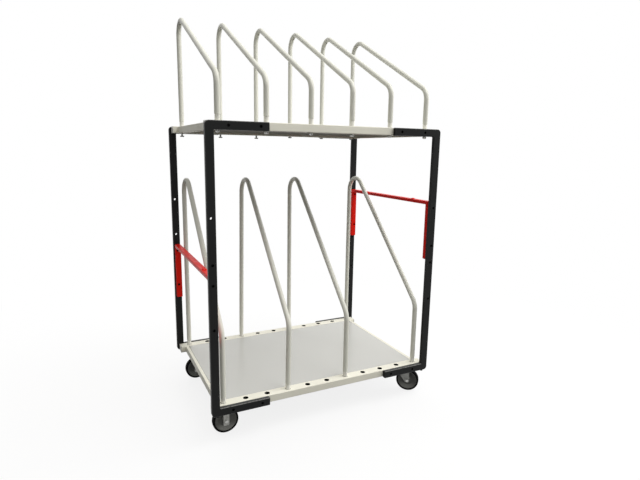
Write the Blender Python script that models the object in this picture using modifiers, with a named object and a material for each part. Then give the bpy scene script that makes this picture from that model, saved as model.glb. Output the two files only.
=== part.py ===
"""Carton storage trolley.

Two shelves hang between four C-shaped end frames, on two fixed and two swivel castors.
Bent tube dividers plug into socket rows in the shelf rails, so that flat cartons
stand on edge between them. A tube handle joins the two posts at each end.

The origin is on the floor under the middle of the trolley, with +X along its
length, -Y to the front and +Z up. All sizes are in metres.
"""
import math

import bmesh
import bpy
from mathutils import Matrix

# General fits
FIT_GAP = 0.0003
SOCKET_CLEARANCE = 0.0010
PANEL_CLEARANCE = 0.0006
RUNNING_CLEARANCE = 0.0004
CUT_MARGIN = 0.004

# End frames: one C of rectangular tube at each corner
FRAME_LENGTH = 1.200
FRAME_HEIGHT = 1.300
POST_WIDTH = 0.038
POST_DEPTH = 0.022
ARM_LENGTH = 0.277
OUTER_CORNER_RADIUS = 0.018
INNER_CORNER_RADIUS = 0.004
TUBE_EDGE_RADIUS = 0.0035
BOLT_HOLE_DIAMETER = 0.010
ARM_HOLE_INSET = 0.039
ARM_HOLE_SPACING = 0.140

# Shelves: two through rails, two rebated crossbars and a board
SHELF_DEPTH = 0.800
RAIL_WIDTH = 0.052
RAIL_HEIGHT = 0.036
RAIL_WALL = 0.002
RAIL_EDGE_RADIUS = 0.003
RAIL_INSET = 0.012
RAIL_OVERHANG = 0.028
END_CAP_THICKNESS = 0.003
END_CAP_PLUG = 0.012
CROSSBAR_LIP = 0.017
CROSSBAR_LEDGE = 0.010
CROSSBAR_DROP = 0.0015
PANEL_THICKNESS = 0.022
PANEL_EDGE_RADIUS = 0.0008

# Dividers: bent tubes with reduced ends that stand in the rail sockets
SOCKET_COUNT = 11
SOCKET_INSET = 0.053
UPPER_DIVIDER_SOCKETS = (0, 2, 4, 6, 8, 10)
LOWER_DIVIDER_SOCKETS = (0, 3, 6, 10)
DIVIDER_TUBE_DIAMETER = 0.0250
SPIGOT_DIAMETER = 0.0225
SPIGOT_STANDOUT = 0.026
SPIGOT_TAPER = 0.0015
UPPER_BEND_RADIUS = 0.068
UPPER_FRONT_KNEE_HEIGHT = 0.188
UPPER_REAR_KNEE_HEIGHT = 0.575
LOWER_BEND_RADIUS = 0.080
LOWER_FRONT_KNEE_HEIGHT = 0.336
LOWER_REAR_KNEE_HEIGHT = 1.090

# Handles: an inverted U of the post tube, held by two holes in each leg
LOW_HANDLE_HOLE_HEIGHT = 0.410
HIGH_HANDLE_HOLE_HEIGHT = 0.700
HANDLE_HOLE_SPACING = 0.200
HANDLE_WIDTH = 0.032
HANDLE_LEG_LENGTH = 0.308
HANDLE_TOP_ABOVE_HOLE = 0.033
HANDLE_BAR_HEIGHT = 0.016
HANDLE_CORNER_RADIUS = 0.003

# Castors: fixed ones at the left end and swivel ones, which trail outwards, at the right end
WHEEL_DIAMETER = 0.125
WHEEL_WIDTH = 0.032
TREAD_WIDTH = 0.020
TYRE_SHOULDER = 0.004
TYRE_THICKNESS = 0.0125
RIM_WIDTH = 0.028
RIM_THICKNESS = 0.005
WEB_THICKNESS = 0.012
HUB_DIAMETER = 0.028
HUB_LENGTH = 0.038
CORE_DRAFT = 0.003
AXLE_DIAMETER = 0.010
AXLE_HEAD_DIAMETER = 0.017
AXLE_HEAD_HEIGHT = 0.006
CASTOR_TRAIL = 0.038
FRONT_SWIVEL_ANGLE = math.radians(-42)
REAR_SWIVEL_ANGLE = math.radians(-35)
FORK_SHEET = 0.003
FORK_SIDE_CLEARANCE = 0.001
FORK_LEAD = 0.030
FORK_BOSS_RADIUS = 0.013
FORK_BEND_RADIUS = 0.004
FORK_LIP = 0.006
FIXED_LEG_WIDTH = 0.033
LEG_FOOT_ROUNDING = 0.8
CROWN_CLEARANCE = 0.007
CROWN_THICKNESS = 0.003
FORK_RACE_HEIGHT = 0.006
FORK_RACE_DIAMETER = 0.054
PLATE_RACE_HEIGHT = 0.005
PLATE_RACE_DIAMETER = 0.062
KINGPIN_DIAMETER = 0.012
KINGPIN_HEAD_DIAMETER = 0.019
KINGPIN_HEAD_HEIGHT = 0.005
PLATE_LENGTH = 0.090
PLATE_WIDTH = 0.075
PLATE_THICKNESS = 0.0035
PLATE_INSET = 0.004
PLATE_CORNER_RADIUS = 0.008
PLATE_HOLE_SPACING_X = 0.070
PLATE_HOLE_SPACING_Y = 0.055
PLATE_HOLE_DIAMETER = 0.009
PAD_THICKNESS = 0.005
PAD_BORDER = 0.004

# Facets of round forms
FACET_ANGLE = math.radians(22.5)
SMALL_FACET_ANGLE = math.radians(45)
SMALL_RADIUS = 0.006
TUBE_BEVEL_RESOLUTION = 2
BOLT_HOLE_SIDES = 8
PLATE_HOLE_SIDES = 6
SOCKET_SIDES = 8
WHEEL_SIDES = 24
TURNED_SIDES = 12

# Heights that follow from the castor, from the floor up
CROWN_BOTTOM = WHEEL_DIAMETER + CROWN_CLEARANCE
CROWN_TOP = CROWN_BOTTOM + CROWN_THICKNESS
FORK_RACE_TOP = CROWN_TOP + FORK_RACE_HEIGHT
PLATE_RACE_BOTTOM = FORK_RACE_TOP + FIT_GAP
PLATE_BOTTOM = PLATE_RACE_BOTTOM + PLATE_RACE_HEIGHT
PLATE_TOP = PLATE_BOTTOM + PLATE_THICKNESS
LOWER_RAIL_BOTTOM = PLATE_TOP + FIT_GAP
LOWER_RAIL_TOP = LOWER_RAIL_BOTTOM + RAIL_HEIGHT
FRAME_BOTTOM = LOWER_RAIL_TOP - POST_WIDTH
FRAME_TOP = FRAME_BOTTOM + FRAME_HEIGHT
UPPER_RAIL_TOP = FRAME_TOP

# Places that follow from the shelf and the frames
FRAME_INNER_Y = SHELF_DEPTH / 2 + FIT_GAP
FRAME_CENTRE_Y = FRAME_INNER_Y + POST_DEPTH / 2
RAIL_CENTRE_Y = SHELF_DEPTH / 2 - RAIL_WIDTH / 2
RAIL_INNER_Y = SHELF_DEPTH / 2 - RAIL_WIDTH
RAIL_END_X = FRAME_LENGTH / 2 - RAIL_INSET
RAIL_TUBE_LENGTH = 2 * (RAIL_END_X - END_CAP_THICKNESS - FIT_GAP)
CROSSBAR_OUTER_X = RAIL_END_X - RAIL_OVERHANG
CROSSBAR_WIDTH = CROSSBAR_LIP + CROSSBAR_LEDGE
CROSSBAR_INNER_X = CROSSBAR_OUTER_X - CROSSBAR_WIDTH
CROSSBAR_LENGTH = 2 * (RAIL_INNER_Y - FIT_GAP)
CROSSBAR_HEIGHT = RAIL_HEIGHT - CROSSBAR_DROP
LEDGE_HEIGHT = CROSSBAR_HEIGHT - PANEL_THICKNESS - FIT_GAP
PANEL_LENGTH = 2 * (CROSSBAR_OUTER_X - CROSSBAR_LIP - PANEL_CLEARANCE)
PANEL_WIDTH = 2 * (RAIL_INNER_Y - PANEL_CLEARANCE)
SOCKET_DIAMETER = SPIGOT_DIAMETER + 2 * SOCKET_CLEARANCE
SOCKET_PITCH = 2 * (RAIL_END_X - SOCKET_INSET) / (SOCKET_COUNT - 1)
SPIGOT_DEPTH = RAIL_HEIGHT - RAIL_WALL - FIT_GAP
CASTOR_X = CROSSBAR_OUTER_X - PLATE_INSET - PLATE_LENGTH / 2
CASTOR_Y = RAIL_INNER_Y - FIT_GAP - PLATE_WIDTH / 2
PAD_OUTER_X = CROSSBAR_INNER_X - FIT_GAP
PAD_INNER_X = CASTOR_X - PLATE_LENGTH / 2 - PAD_BORDER
PAD_OUTER_Y = RAIL_INNER_Y - FIT_GAP
PAD_INNER_Y = CASTOR_Y - PLATE_WIDTH / 2 - PAD_BORDER

# Castor places that follow from the wheel
AXLE_Z = WHEEL_DIAMETER / 2
CORE_RADIUS = WHEEL_DIAMETER / 2 - TYRE_THICKNESS - FIT_GAP
FORK_INNER_WIDTH = HUB_LENGTH + 2 * FORK_SIDE_CLEARANCE
FORK_OUTER_WIDTH = FORK_INNER_WIDTH + 2 * FORK_SHEET

LEFT, RIGHT = -1, 1
FRONT, REAR = -1, 1
SIDE_NAMES = {LEFT: "left", RIGHT: "right"}
END_NAMES = {FRONT: "front", REAR: "rear"}

# Local X, Y, Z of a profile turned to world Y, Z, X and to world X, Z, -Y
ALONG_X = (math.pi / 2, 0.0, math.pi / 2)
ALONG_Y = (math.pi / 2, 0.0, 0.0)


def clear_scene():
    """Start from an empty file and make the collections for the parts and the cutters."""
    for obj in list(bpy.data.objects):
        bpy.data.objects.remove(obj, do_unlink=True)
    groups = []
    for name in ("carton_storage_trolley", "cutters"):
        group = bpy.data.collections.new(name)
        bpy.context.scene.collection.children.link(group)
        groups.append(group)
    return groups


PARTS, CUTTERS = clear_scene()


def material(name, colour, roughness, metallic=0.0):
    """A Principled material."""
    made = bpy.data.materials.new(name)
    made.use_nodes = True
    shader = made.node_tree.nodes["Principled BSDF"]
    shader.inputs["Base Color"].default_value = (*colour, 1.0)
    shader.inputs["Roughness"].default_value = roughness
    shader.inputs["Metallic"].default_value = metallic
    return made


BLACK_PAINT = material("black_powder_coat", (0.018, 0.019, 0.020), 0.45)
WHITE_PAINT = material("white_powder_coat", (0.78, 0.78, 0.72), 0.40)
RED_PAINT = material("red_powder_coat", (0.62, 0.02, 0.012), 0.35)
GREY_BOARD = material("grey_melamine_board", (0.62, 0.61, 0.58), 0.50)
WHITE_PLASTIC = material("white_plastic", (0.80, 0.80, 0.76), 0.45)
ZINC = material("zinc_plated_steel", (0.42, 0.42, 0.41), 0.35, 0.9)
TYRE_RUBBER = material("black_rubber", (0.010, 0.010, 0.010), 0.70)
CORE_PLASTIC = material("dark_grey_plastic", (0.060, 0.062, 0.060), 0.50)


def rounded_outline(corners, radii):
    """Outline through the corners, each rounded by its own radius with an arc."""
    points = []
    count = len(corners)
    for index, (x, y) in enumerate(corners):
        radius = radii[index]
        if radius <= 0.0:
            points.append((x, y))
            continue
        before = corners[index - 1]
        after = corners[(index + 1) % count]
        to_before = math.atan2(before[1] - y, before[0] - x)
        to_after = math.atan2(after[1] - y, after[0] - x)
        opening = (to_after - to_before + math.pi) % (2 * math.pi) - math.pi
        middle = to_before + opening / 2
        reach = radius / math.sin(abs(opening) / 2)
        centre_x = x + reach * math.cos(middle)
        centre_y = y + reach * math.sin(middle)
        sweep = math.copysign(math.pi - abs(opening), -opening)
        start = middle + math.pi - sweep / 2
        facet = FACET_ANGLE if radius > SMALL_RADIUS else SMALL_FACET_ANGLE
        steps = max(1, round(abs(sweep) / facet))
        for step in range(steps + 1):
            angle = start + sweep * step / steps
            points.append((centre_x + radius * math.cos(angle), centre_y + radius * math.sin(angle)))
    return points


def rectangle(width, height, radius=0.0, centre=(0.0, 0.0)):
    """Rectangle outline about a centre, with rounded corners."""
    x, y = centre
    corners = [
        (x - width / 2, y - height / 2),
        (x + width / 2, y - height / 2),
        (x + width / 2, y + height / 2),
        (x - width / 2, y + height / 2),
    ]
    return rounded_outline(corners, [radius] * 4)


def add_mesh(name, mesh, group, paint=None):
    """New object with a mesh, in a collection."""
    obj = bpy.data.objects.new(name, mesh)
    group.objects.link(obj)
    if paint:
        mesh.materials.clear()
        mesh.materials.append(paint)
    if group is CUTTERS:
        obj.hide_render = True
        obj.display_type = "WIRE"
    return obj


def tidy_mesh(mesh):
    """Weld the loose seams of a mesh and point its faces out."""
    work = bmesh.new()
    work.from_mesh(mesh)
    bmesh.ops.remove_doubles(work, verts=work.verts, dist=0.000002)
    bmesh.ops.recalc_face_normals(work, faces=work.faces)
    work.to_mesh(mesh)
    work.free()


def to_mesh_object(source, name, group, paint=None):
    """Mesh object from an evaluated curve or modified object, which is then removed."""
    bpy.context.view_layer.update()
    evaluated = source.evaluated_get(bpy.context.evaluated_depsgraph_get())
    mesh = bpy.data.meshes.new_from_object(evaluated)
    mesh.name = name
    matrix = source.matrix_world.copy()
    bpy.data.objects.remove(source, do_unlink=True)
    tidy_mesh(mesh)
    obj = add_mesh(name, mesh, group, paint)
    obj.matrix_world = matrix
    return obj


def extruded(name, outlines, thickness, paint=None, group=PARTS):
    """Flat outlines, the second and later ones as holes, extruded about the XY plane."""
    curve = bpy.data.curves.new(name + "_outline", "CURVE")
    curve.dimensions = "2D"
    curve.fill_mode = "BOTH"
    curve.extrude = thickness / 2
    for outline in outlines:
        spline = curve.splines.new("POLY")
        spline.points.add(len(outline) - 1)
        for point, (x, y) in zip(spline.points, outline):
            point.co = (x, y, 0.0, 1.0)
        spline.use_cyclic_u = True
    source = bpy.data.objects.new(name + "_outline", curve)
    group.objects.link(source)
    return to_mesh_object(source, name, group, paint)


def turned(name, profile, sides, paint=None, group=PARTS, half_step=False):
    """Profile of (radius, height) points turned about the Z axis."""
    mesh = bpy.data.meshes.new(name + "_profile")
    work = bmesh.new()
    corners = [work.verts.new((radius, 0.0, height)) for radius, height in profile]
    for first, second in zip(corners, corners[1:]):
        work.edges.new((first, second))
    if profile[0][0] > 0.0:
        work.edges.new((corners[-1], corners[0]))
    work.to_mesh(mesh)
    work.free()
    if half_step:
        mesh.transform(Matrix.Rotation(math.pi / sides, 4, "Z"))
    source = bpy.data.objects.new(name + "_profile", mesh)
    group.objects.link(source)
    screw = source.modifiers.new("turn", "SCREW")
    screw.steps = sides
    screw.render_steps = sides
    screw.use_merge_vertices = True
    screw.merge_threshold = 0.00001
    return to_mesh_object(source, name, group, paint)


def cylinders(name, places, diameter, length, sides, axis="Z"):
    """One cutter of equal cylinders, whose flats lie on the true radius, each centred on a place."""
    turn = {"Z": Matrix(), "Y": Matrix.Rotation(math.pi / 2, 4, "X")}[axis]
    corner_radius = diameter / 2 / math.cos(math.pi / sides)
    mesh = bpy.data.meshes.new(name)
    work = bmesh.new()
    for place in places:
        bmesh.ops.create_cone(
            work,
            cap_ends=True,
            segments=sides,
            radius1=corner_radius,
            radius2=corner_radius,
            depth=length,
            matrix=Matrix.Translation(place) @ turn,
        )
    work.to_mesh(mesh)
    work.free()
    return add_mesh(name, mesh, CUTTERS)


def boolean(obj, other, operation):
    """Cut another object out of this one, or join it to this one."""
    modifier = obj.modifiers.new(operation.lower(), "BOOLEAN")
    modifier.operation = operation
    modifier.solver = "EXACT"
    modifier.object = other


def round_edges(obj, radius, segments=1):
    """Round the square edges of a tube or a board."""
    modifier = obj.modifiers.new("edge_rounding", "BEVEL")
    modifier.width = radius
    modifier.segments = segments
    modifier.limit_method = "ANGLE"
    modifier.angle_limit = math.radians(60)


def shade_round(obj):
    """Smooth shading on curved faces, with sharp edges kept."""
    obj.data.shade_smooth()
    obj.data.set_sharp_from_angle(angle=math.radians(40))


def end_frame(side, end):
    """C-shaped frame: a post with an arm to the shelf rail at its top and bottom."""
    name = f"{END_NAMES[end]}_{SIDE_NAMES[side]}_frame"
    corners = [
        (0.0, 0.0),
        (ARM_LENGTH, 0.0),
        (ARM_LENGTH, POST_WIDTH),
        (POST_WIDTH, POST_WIDTH),
        (POST_WIDTH, FRAME_HEIGHT - POST_WIDTH),
        (ARM_LENGTH, FRAME_HEIGHT - POST_WIDTH),
        (ARM_LENGTH, FRAME_HEIGHT),
        (0.0, FRAME_HEIGHT),
    ]
    outer, inner = OUTER_CORNER_RADIUS, INNER_CORNER_RADIUS
    outline = rounded_outline(corners, [outer, 0.0, 0.0, inner, inner, 0.0, 0.0, outer])
    outline = [(-side * x, y) for x, y in outline]
    frame = extruded(name, [outline], POST_DEPTH, BLACK_PAINT)
    frame.rotation_euler = ALONG_Y
    frame.location = (side * FRAME_LENGTH / 2, end * FRAME_CENTRE_Y, FRAME_BOTTOM)
    round_edges(frame, TUBE_EDGE_RADIUS)

    post_x = side * (FRAME_LENGTH / 2 - POST_WIDTH / 2)
    places = [(post_x, frame.location.y, height) for height in handle_hole_heights()]
    arm_end_x = side * (FRAME_LENGTH / 2 - ARM_LENGTH)
    for level in (FRAME_BOTTOM + POST_WIDTH / 2, FRAME_TOP - POST_WIDTH / 2):
        for offset in (ARM_HOLE_INSET, ARM_HOLE_INSET + ARM_HOLE_SPACING):
            places.append((arm_end_x + side * offset, frame.location.y, level))
    cutter_length = POST_DEPTH + CUT_MARGIN
    cutter = cylinders(name + "_holes", places, BOLT_HOLE_DIAMETER, cutter_length, BOLT_HOLE_SIDES, "Y")
    boolean(frame, cutter, "DIFFERENCE")
    shade_round(frame)


def handle_hole_heights():
    """Heights of the four handle holes in a post, from the lowest up."""
    heights = []
    for lowest in (LOW_HANDLE_HOLE_HEIGHT, HIGH_HANDLE_HOLE_HEIGHT):
        heights.append(FRAME_BOTTOM + lowest)
        heights.append(FRAME_BOTTOM + lowest + HANDLE_HOLE_SPACING)
    return heights


def socket_x(index):
    """Place of a divider socket along the rails."""
    return (index - (SOCKET_COUNT - 1) / 2) * SOCKET_PITCH


def rail(level, end, rail_top):
    """Through rail: a tube with a row of divider sockets in its top wall."""
    name = f"{level}_{END_NAMES[end]}_rail"
    outside = rectangle(RAIL_WIDTH, RAIL_HEIGHT, RAIL_EDGE_RADIUS)
    inside_radius = max(RAIL_EDGE_RADIUS - RAIL_WALL, 0.0)
    inside = rectangle(RAIL_WIDTH - 2 * RAIL_WALL, RAIL_HEIGHT - 2 * RAIL_WALL, inside_radius)
    tube = extruded(name, [outside, inside], RAIL_TUBE_LENGTH, WHITE_PAINT)
    tube.rotation_euler = ALONG_X
    tube.location = (0.0, end * RAIL_CENTRE_Y, rail_top - RAIL_HEIGHT / 2)
    places = [(socket_x(index), tube.location.y, rail_top) for index in range(SOCKET_COUNT)]
    cutter = cylinders(name + "_sockets", places, SOCKET_DIAMETER, 2 * RAIL_WALL + CUT_MARGIN, SOCKET_SIDES)
    boolean(tube, cutter, "DIFFERENCE")
    shade_round(tube)
    for side in (LEFT, RIGHT):
        end_cap(level, side, end, tube.location)


def end_cap(level, side, end, rail_centre):
    """Plastic cap with a plug that closes a rail's end."""
    name = f"{level}_{END_NAMES[end]}_{SIDE_NAMES[side]}_end_cap"
    cover_outline = rectangle(RAIL_WIDTH, RAIL_HEIGHT, RAIL_EDGE_RADIUS)
    cover = extruded(name, [cover_outline], END_CAP_THICKNESS, WHITE_PLASTIC)
    cover.rotation_euler = ALONG_X
    cover.location = (side * (RAIL_END_X - END_CAP_THICKNESS / 2), rail_centre.y, rail_centre.z)
    plug_inset = 2 * (RAIL_WALL + FIT_GAP)
    plug_outline = rectangle(RAIL_WIDTH - plug_inset, RAIL_HEIGHT - plug_inset, RAIL_EDGE_RADIUS)
    plug_length = END_CAP_PLUG + END_CAP_THICKNESS / 2
    plug = extruded(name + "_plug", [plug_outline], plug_length, group=CUTTERS)
    plug.rotation_euler = ALONG_X
    plug.location = cover.location
    plug.location.x = cover.location.x - side * plug_length / 2
    boolean(cover, plug, "UNION")


def crossbar(level, side, rail_top):
    """Bar across a shelf's end, with a rebate that carries the board."""
    name = f"{level}_{SIDE_NAMES[side]}_crossbar"
    corners = [
        (0.0, 0.0),
        (CROSSBAR_WIDTH, 0.0),
        (CROSSBAR_WIDTH, LEDGE_HEIGHT),
        (CROSSBAR_LIP, LEDGE_HEIGHT),
        (CROSSBAR_LIP, CROSSBAR_HEIGHT),
        (0.0, CROSSBAR_HEIGHT),
    ]
    radius = RAIL_EDGE_RADIUS
    outline = rounded_outline(corners, [radius, radius, 0.0, 0.0, radius, radius])
    outline = [(-side * x, y) for x, y in outline]
    bar = extruded(name, [outline], CROSSBAR_LENGTH, WHITE_PAINT)
    bar.rotation_euler = ALONG_Y
    bar.location = (side * CROSSBAR_OUTER_X, 0.0, rail_top - RAIL_HEIGHT)
    shade_round(bar)


def panel(level, rail_top):
    """Board that lies in the rebates of the crossbars."""
    outline = rectangle(PANEL_LENGTH, PANEL_WIDTH)
    board = extruded(f"{level}_panel", [outline], PANEL_THICKNESS, GREY_BOARD)
    board.location = (0.0, 0.0, rail_top - CROSSBAR_DROP - PANEL_THICKNESS / 2)
    round_edges(board, PANEL_EDGE_RADIUS)


def bent_path(front_knee, rear_knee, bend_radius):
    """Points of (depth, height, reduced) along a divider, from the front foot to the rear foot."""
    foot = -SPIGOT_DEPTH
    leg = RAIL_CENTRE_Y
    corners = [(-leg, foot), (-leg, front_knee), (leg, rear_knee), (leg, foot)]
    bends = rounded_outline(corners, [0.0, bend_radius, bend_radius, 0.0])[1:-1]
    step_low = SPIGOT_STANDOUT - SPIGOT_TAPER
    front_foot = [(-leg, foot, True), (-leg, step_low, True), (-leg, SPIGOT_STANDOUT, False)]
    rear_foot = [(leg, SPIGOT_STANDOUT, False), (leg, step_low, True), (leg, foot, True)]
    return front_foot + [(y, z, False) for y, z in bends] + rear_foot


def divider(name, x, rail_top, shape):
    """Bent tube hoop that stands in one front and one rear socket."""
    curve = bpy.data.curves.new(name + "_path", "CURVE")
    curve.dimensions = "3D"
    curve.bevel_depth = DIVIDER_TUBE_DIAMETER / 2
    curve.bevel_resolution = TUBE_BEVEL_RESOLUTION
    curve.use_fill_caps = True
    path = bent_path(*shape)
    spline = curve.splines.new("POLY")
    spline.points.add(len(path) - 1)
    for point, (y, z, reduced) in zip(spline.points, path):
        point.co = (0.0, y, z, 1.0)
        point.radius = SPIGOT_DIAMETER / DIVIDER_TUBE_DIAMETER if reduced else 1.0
    source = bpy.data.objects.new(name + "_path", curve)
    PARTS.objects.link(source)
    source.location = (x, 0.0, rail_top)
    shade_round(to_mesh_object(source, name, PARTS, WHITE_PAINT))


def handle(side, lowest_hole):
    """Inverted U of tube between the front and rear posts at one end, flush with their inner faces."""
    name = f"{SIDE_NAMES[side]}_handle"
    half = SHELF_DEPTH / 2
    inner = half - POST_DEPTH
    corners = [
        (-half, -HANDLE_LEG_LENGTH),
        (-inner, -HANDLE_LEG_LENGTH),
        (-inner, -HANDLE_BAR_HEIGHT),
        (inner, -HANDLE_BAR_HEIGHT),
        (inner, -HANDLE_LEG_LENGTH),
        (half, -HANDLE_LEG_LENGTH),
        (half, 0.0),
        (-half, 0.0),
    ]
    mitre = HANDLE_CORNER_RADIUS
    outline = rounded_outline(corners, [0.0] * 6 + [mitre, mitre])
    bar = extruded(name, [outline], HANDLE_WIDTH, RED_PAINT)
    bar.rotation_euler = ALONG_X
    upper_hole = FRAME_BOTTOM + lowest_hole + HANDLE_HOLE_SPACING
    inner_x = FRAME_LENGTH / 2 - POST_WIDTH
    bar.location = (side * (inner_x + HANDLE_WIDTH / 2), 0.0, upper_hole + HANDLE_TOP_ABOVE_HOLE)
    round_edges(bar, TUBE_EDGE_RADIUS)
    leg_centre = half - POST_DEPTH / 2
    places = []
    for height in (upper_hole - HANDLE_HOLE_SPACING, upper_hole):
        for end in (FRONT, REAR):
            places.append((side * (inner_x + POST_WIDTH / 2), end * leg_centre, height))
    cutter_length = POST_DEPTH + CUT_MARGIN
    cutter = cylinders(name + "_holes", places, BOLT_HOLE_DIAMETER, cutter_length, BOLT_HOLE_SIDES, "Y")
    boolean(bar, cutter, "DIFFERENCE")
    shade_round(bar)


def bolt_places(columns):
    """Castor bolt centres about a plate's centre, in the given columns along X."""
    rows = (-PLATE_HOLE_SPACING_Y / 2, PLATE_HOLE_SPACING_Y / 2)
    return [(x, y, 0.0) for x in columns for y in rows]


def castor_pad(name, side, end):
    """Plate welded in a lower corner of the shelf, which the castor's inner bolts go through."""
    length = PAD_OUTER_X - PAD_INNER_X
    width = PAD_OUTER_Y - PAD_INNER_Y
    pad = extruded(name, [rectangle(length, width)], PAD_THICKNESS, WHITE_PAINT)
    pad.location = (
        side * (PAD_OUTER_X + PAD_INNER_X) / 2,
        end * (PAD_OUTER_Y + PAD_INNER_Y) / 2,
        LOWER_RAIL_BOTTOM + PAD_THICKNESS / 2,
    )
    places = bolt_places([-side * PLATE_HOLE_SPACING_X / 2])
    cutter_length = PAD_THICKNESS + CUT_MARGIN
    holes = cylinders(name + "_holes", places, PLATE_HOLE_DIAMETER, cutter_length, PLATE_HOLE_SIDES)
    holes.location = (side * CASTOR_X, end * CASTOR_Y, pad.location.z)
    boolean(pad, holes, "DIFFERENCE")


def top_plate(name, mount):
    """Drilled top plate of a castor, under the shelf."""
    outline = rectangle(PLATE_LENGTH, PLATE_WIDTH, PLATE_CORNER_RADIUS)
    plate = extruded(name, [outline], PLATE_THICKNESS, ZINC)
    plate.parent = mount
    plate.location = (0.0, 0.0, PLATE_BOTTOM + PLATE_THICKNESS / 2)
    places = bolt_places([-PLATE_HOLE_SPACING_X / 2, PLATE_HOLE_SPACING_X / 2])
    cutter_length = PLATE_THICKNESS + CUT_MARGIN
    holes = cylinders(name + "_holes", places, PLATE_HOLE_DIAMETER, cutter_length, PLATE_HOLE_SIDES)
    holes.parent = mount
    holes.location = plate.location
    boolean(plate, holes, "DIFFERENCE")
    return plate


def castor_plate(name, mount):
    """Top plate of a swivel castor, with the upper race and the kingpin."""
    plate = top_plate(name, mount)
    inside_plate = PLATE_BOTTOM + PLATE_THICKNESS / 2
    head_top = CROWN_BOTTOM - FIT_GAP
    head_bottom = head_top - KINGPIN_HEAD_HEIGHT
    profile = [
        (0.0, inside_plate),
        (PLATE_RACE_DIAMETER / 2, inside_plate),
        (PLATE_RACE_DIAMETER / 2, PLATE_RACE_BOTTOM),
        (KINGPIN_DIAMETER / 2, PLATE_RACE_BOTTOM),
        (KINGPIN_DIAMETER / 2, head_top),
        (KINGPIN_HEAD_DIAMETER / 2, head_top),
        (KINGPIN_HEAD_DIAMETER / 2, head_bottom),
        (0.0, head_bottom),
    ]
    kingpin = turned(name + "_kingpin", profile, TURNED_SIDES, group=CUTTERS)
    kingpin.parent = mount
    boolean(plate, kingpin, "UNION")


def axle_hole(fork, trail, mount):
    """Drill both legs of a fork for the axle."""
    diameter = AXLE_DIAMETER + 2 * FIT_GAP
    length = FORK_OUTER_WIDTH + CUT_MARGIN
    hole = cylinders(fork.name + "_axle_hole", [(trail, 0.0, AXLE_Z)], diameter, length, TURNED_SIDES, "Y")
    hole.parent = mount
    boolean(fork, hole, "DIFFERENCE")


def castor_bracket(name, mount):
    """Fixed castor: straight legs under a top plate, with the wheel right below it."""
    bracket = top_plate(name, mount)
    half = FIXED_LEG_WIDTH / 2
    corners = [
        (-half, AXLE_Z - half),
        (half, AXLE_Z - half),
        (half, PLATE_BOTTOM + PLATE_THICKNESS / 2),
        (-half, PLATE_BOTTOM + PLATE_THICKNESS / 2),
    ]
    foot = LEG_FOOT_ROUNDING * half
    outline = rounded_outline(corners, [foot, foot, 0.0, 0.0])
    for end in (FRONT, REAR):
        leg = extruded(f"{name}_{END_NAMES[end]}_leg", [outline], FORK_SHEET, group=CUTTERS)
        leg.parent = mount
        leg.rotation_euler = ALONG_Y
        leg.location = (0.0, end * (FORK_OUTER_WIDTH - FORK_SHEET) / 2, 0.0)
        boolean(bracket, leg, "UNION")
    axle_hole(bracket, 0.0, mount)


def castor_fork(name, swivel):
    """Pressed fork: a bent channel trimmed to two tapered legs, with the lower swivel race on top."""
    rear_x = CASTOR_TRAIL + FORK_BOSS_RADIUS
    boss_bottom = AXLE_Z - FORK_BOSS_RADIUS
    inner = FORK_INNER_WIDTH / 2
    outer = FORK_OUTER_WIDTH / 2
    section = [
        (-outer, boss_bottom - CUT_MARGIN),
        (-inner, boss_bottom - CUT_MARGIN),
        (-inner, CROWN_BOTTOM),
        (inner, CROWN_BOTTOM),
        (inner, boss_bottom - CUT_MARGIN),
        (outer, boss_bottom - CUT_MARGIN),
        (outer, CROWN_TOP),
        (-outer, CROWN_TOP),
    ]
    channel_outline = rounded_outline(section, [0.0] * 6 + [FORK_BEND_RADIUS] * 2)
    channel_length = FORK_LEAD + rear_x + 2 * CUT_MARGIN
    fork = extruded(name, [channel_outline], channel_length, ZINC)
    fork.parent = swivel
    fork.rotation_euler = ALONG_X
    fork.location = ((rear_x - FORK_LEAD) / 2, 0.0, 0.0)

    corners = [
        (-FORK_LEAD, CROWN_BOTTOM - FORK_LIP),
        (CASTOR_TRAIL - FORK_BOSS_RADIUS, boss_bottom),
        (rear_x, boss_bottom),
        (rear_x, CROWN_TOP + CUT_MARGIN),
        (-FORK_LEAD, CROWN_TOP + CUT_MARGIN),
    ]
    boss = LEG_FOOT_ROUNDING * FORK_BOSS_RADIUS
    side_outline = rounded_outline(corners, [0.0, boss, boss, 0.0, 0.0])
    trim = extruded(name + "_trim", [side_outline], FORK_OUTER_WIDTH + CUT_MARGIN, group=CUTTERS)
    trim.parent = swivel
    trim.rotation_euler = ALONG_Y
    boolean(fork, trim, "INTERSECT")

    inside_crown = CROWN_BOTTOM + CROWN_THICKNESS / 2
    race_profile = [
        (0.0, FORK_RACE_TOP),
        (FORK_RACE_DIAMETER / 2, FORK_RACE_TOP),
        (FORK_RACE_DIAMETER / 2, inside_crown),
        (0.0, inside_crown),
    ]
    race = turned(name + "_race", race_profile, TURNED_SIDES, group=CUTTERS, half_step=True)
    race.parent = swivel
    boolean(fork, race, "UNION")

    diameter = KINGPIN_DIAMETER + 2 * RUNNING_CLEARANCE
    height = FORK_RACE_TOP - CROWN_BOTTOM + CUT_MARGIN
    centre = (0.0, 0.0, (FORK_RACE_TOP + CROWN_BOTTOM) / 2)
    pin_hole = cylinders(name + "_pin_hole", [centre], diameter, height, TURNED_SIDES)
    pin_hole.parent = swivel
    boolean(fork, pin_hole, "DIFFERENCE")
    axle_hole(fork, CASTOR_TRAIL, swivel)


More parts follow.
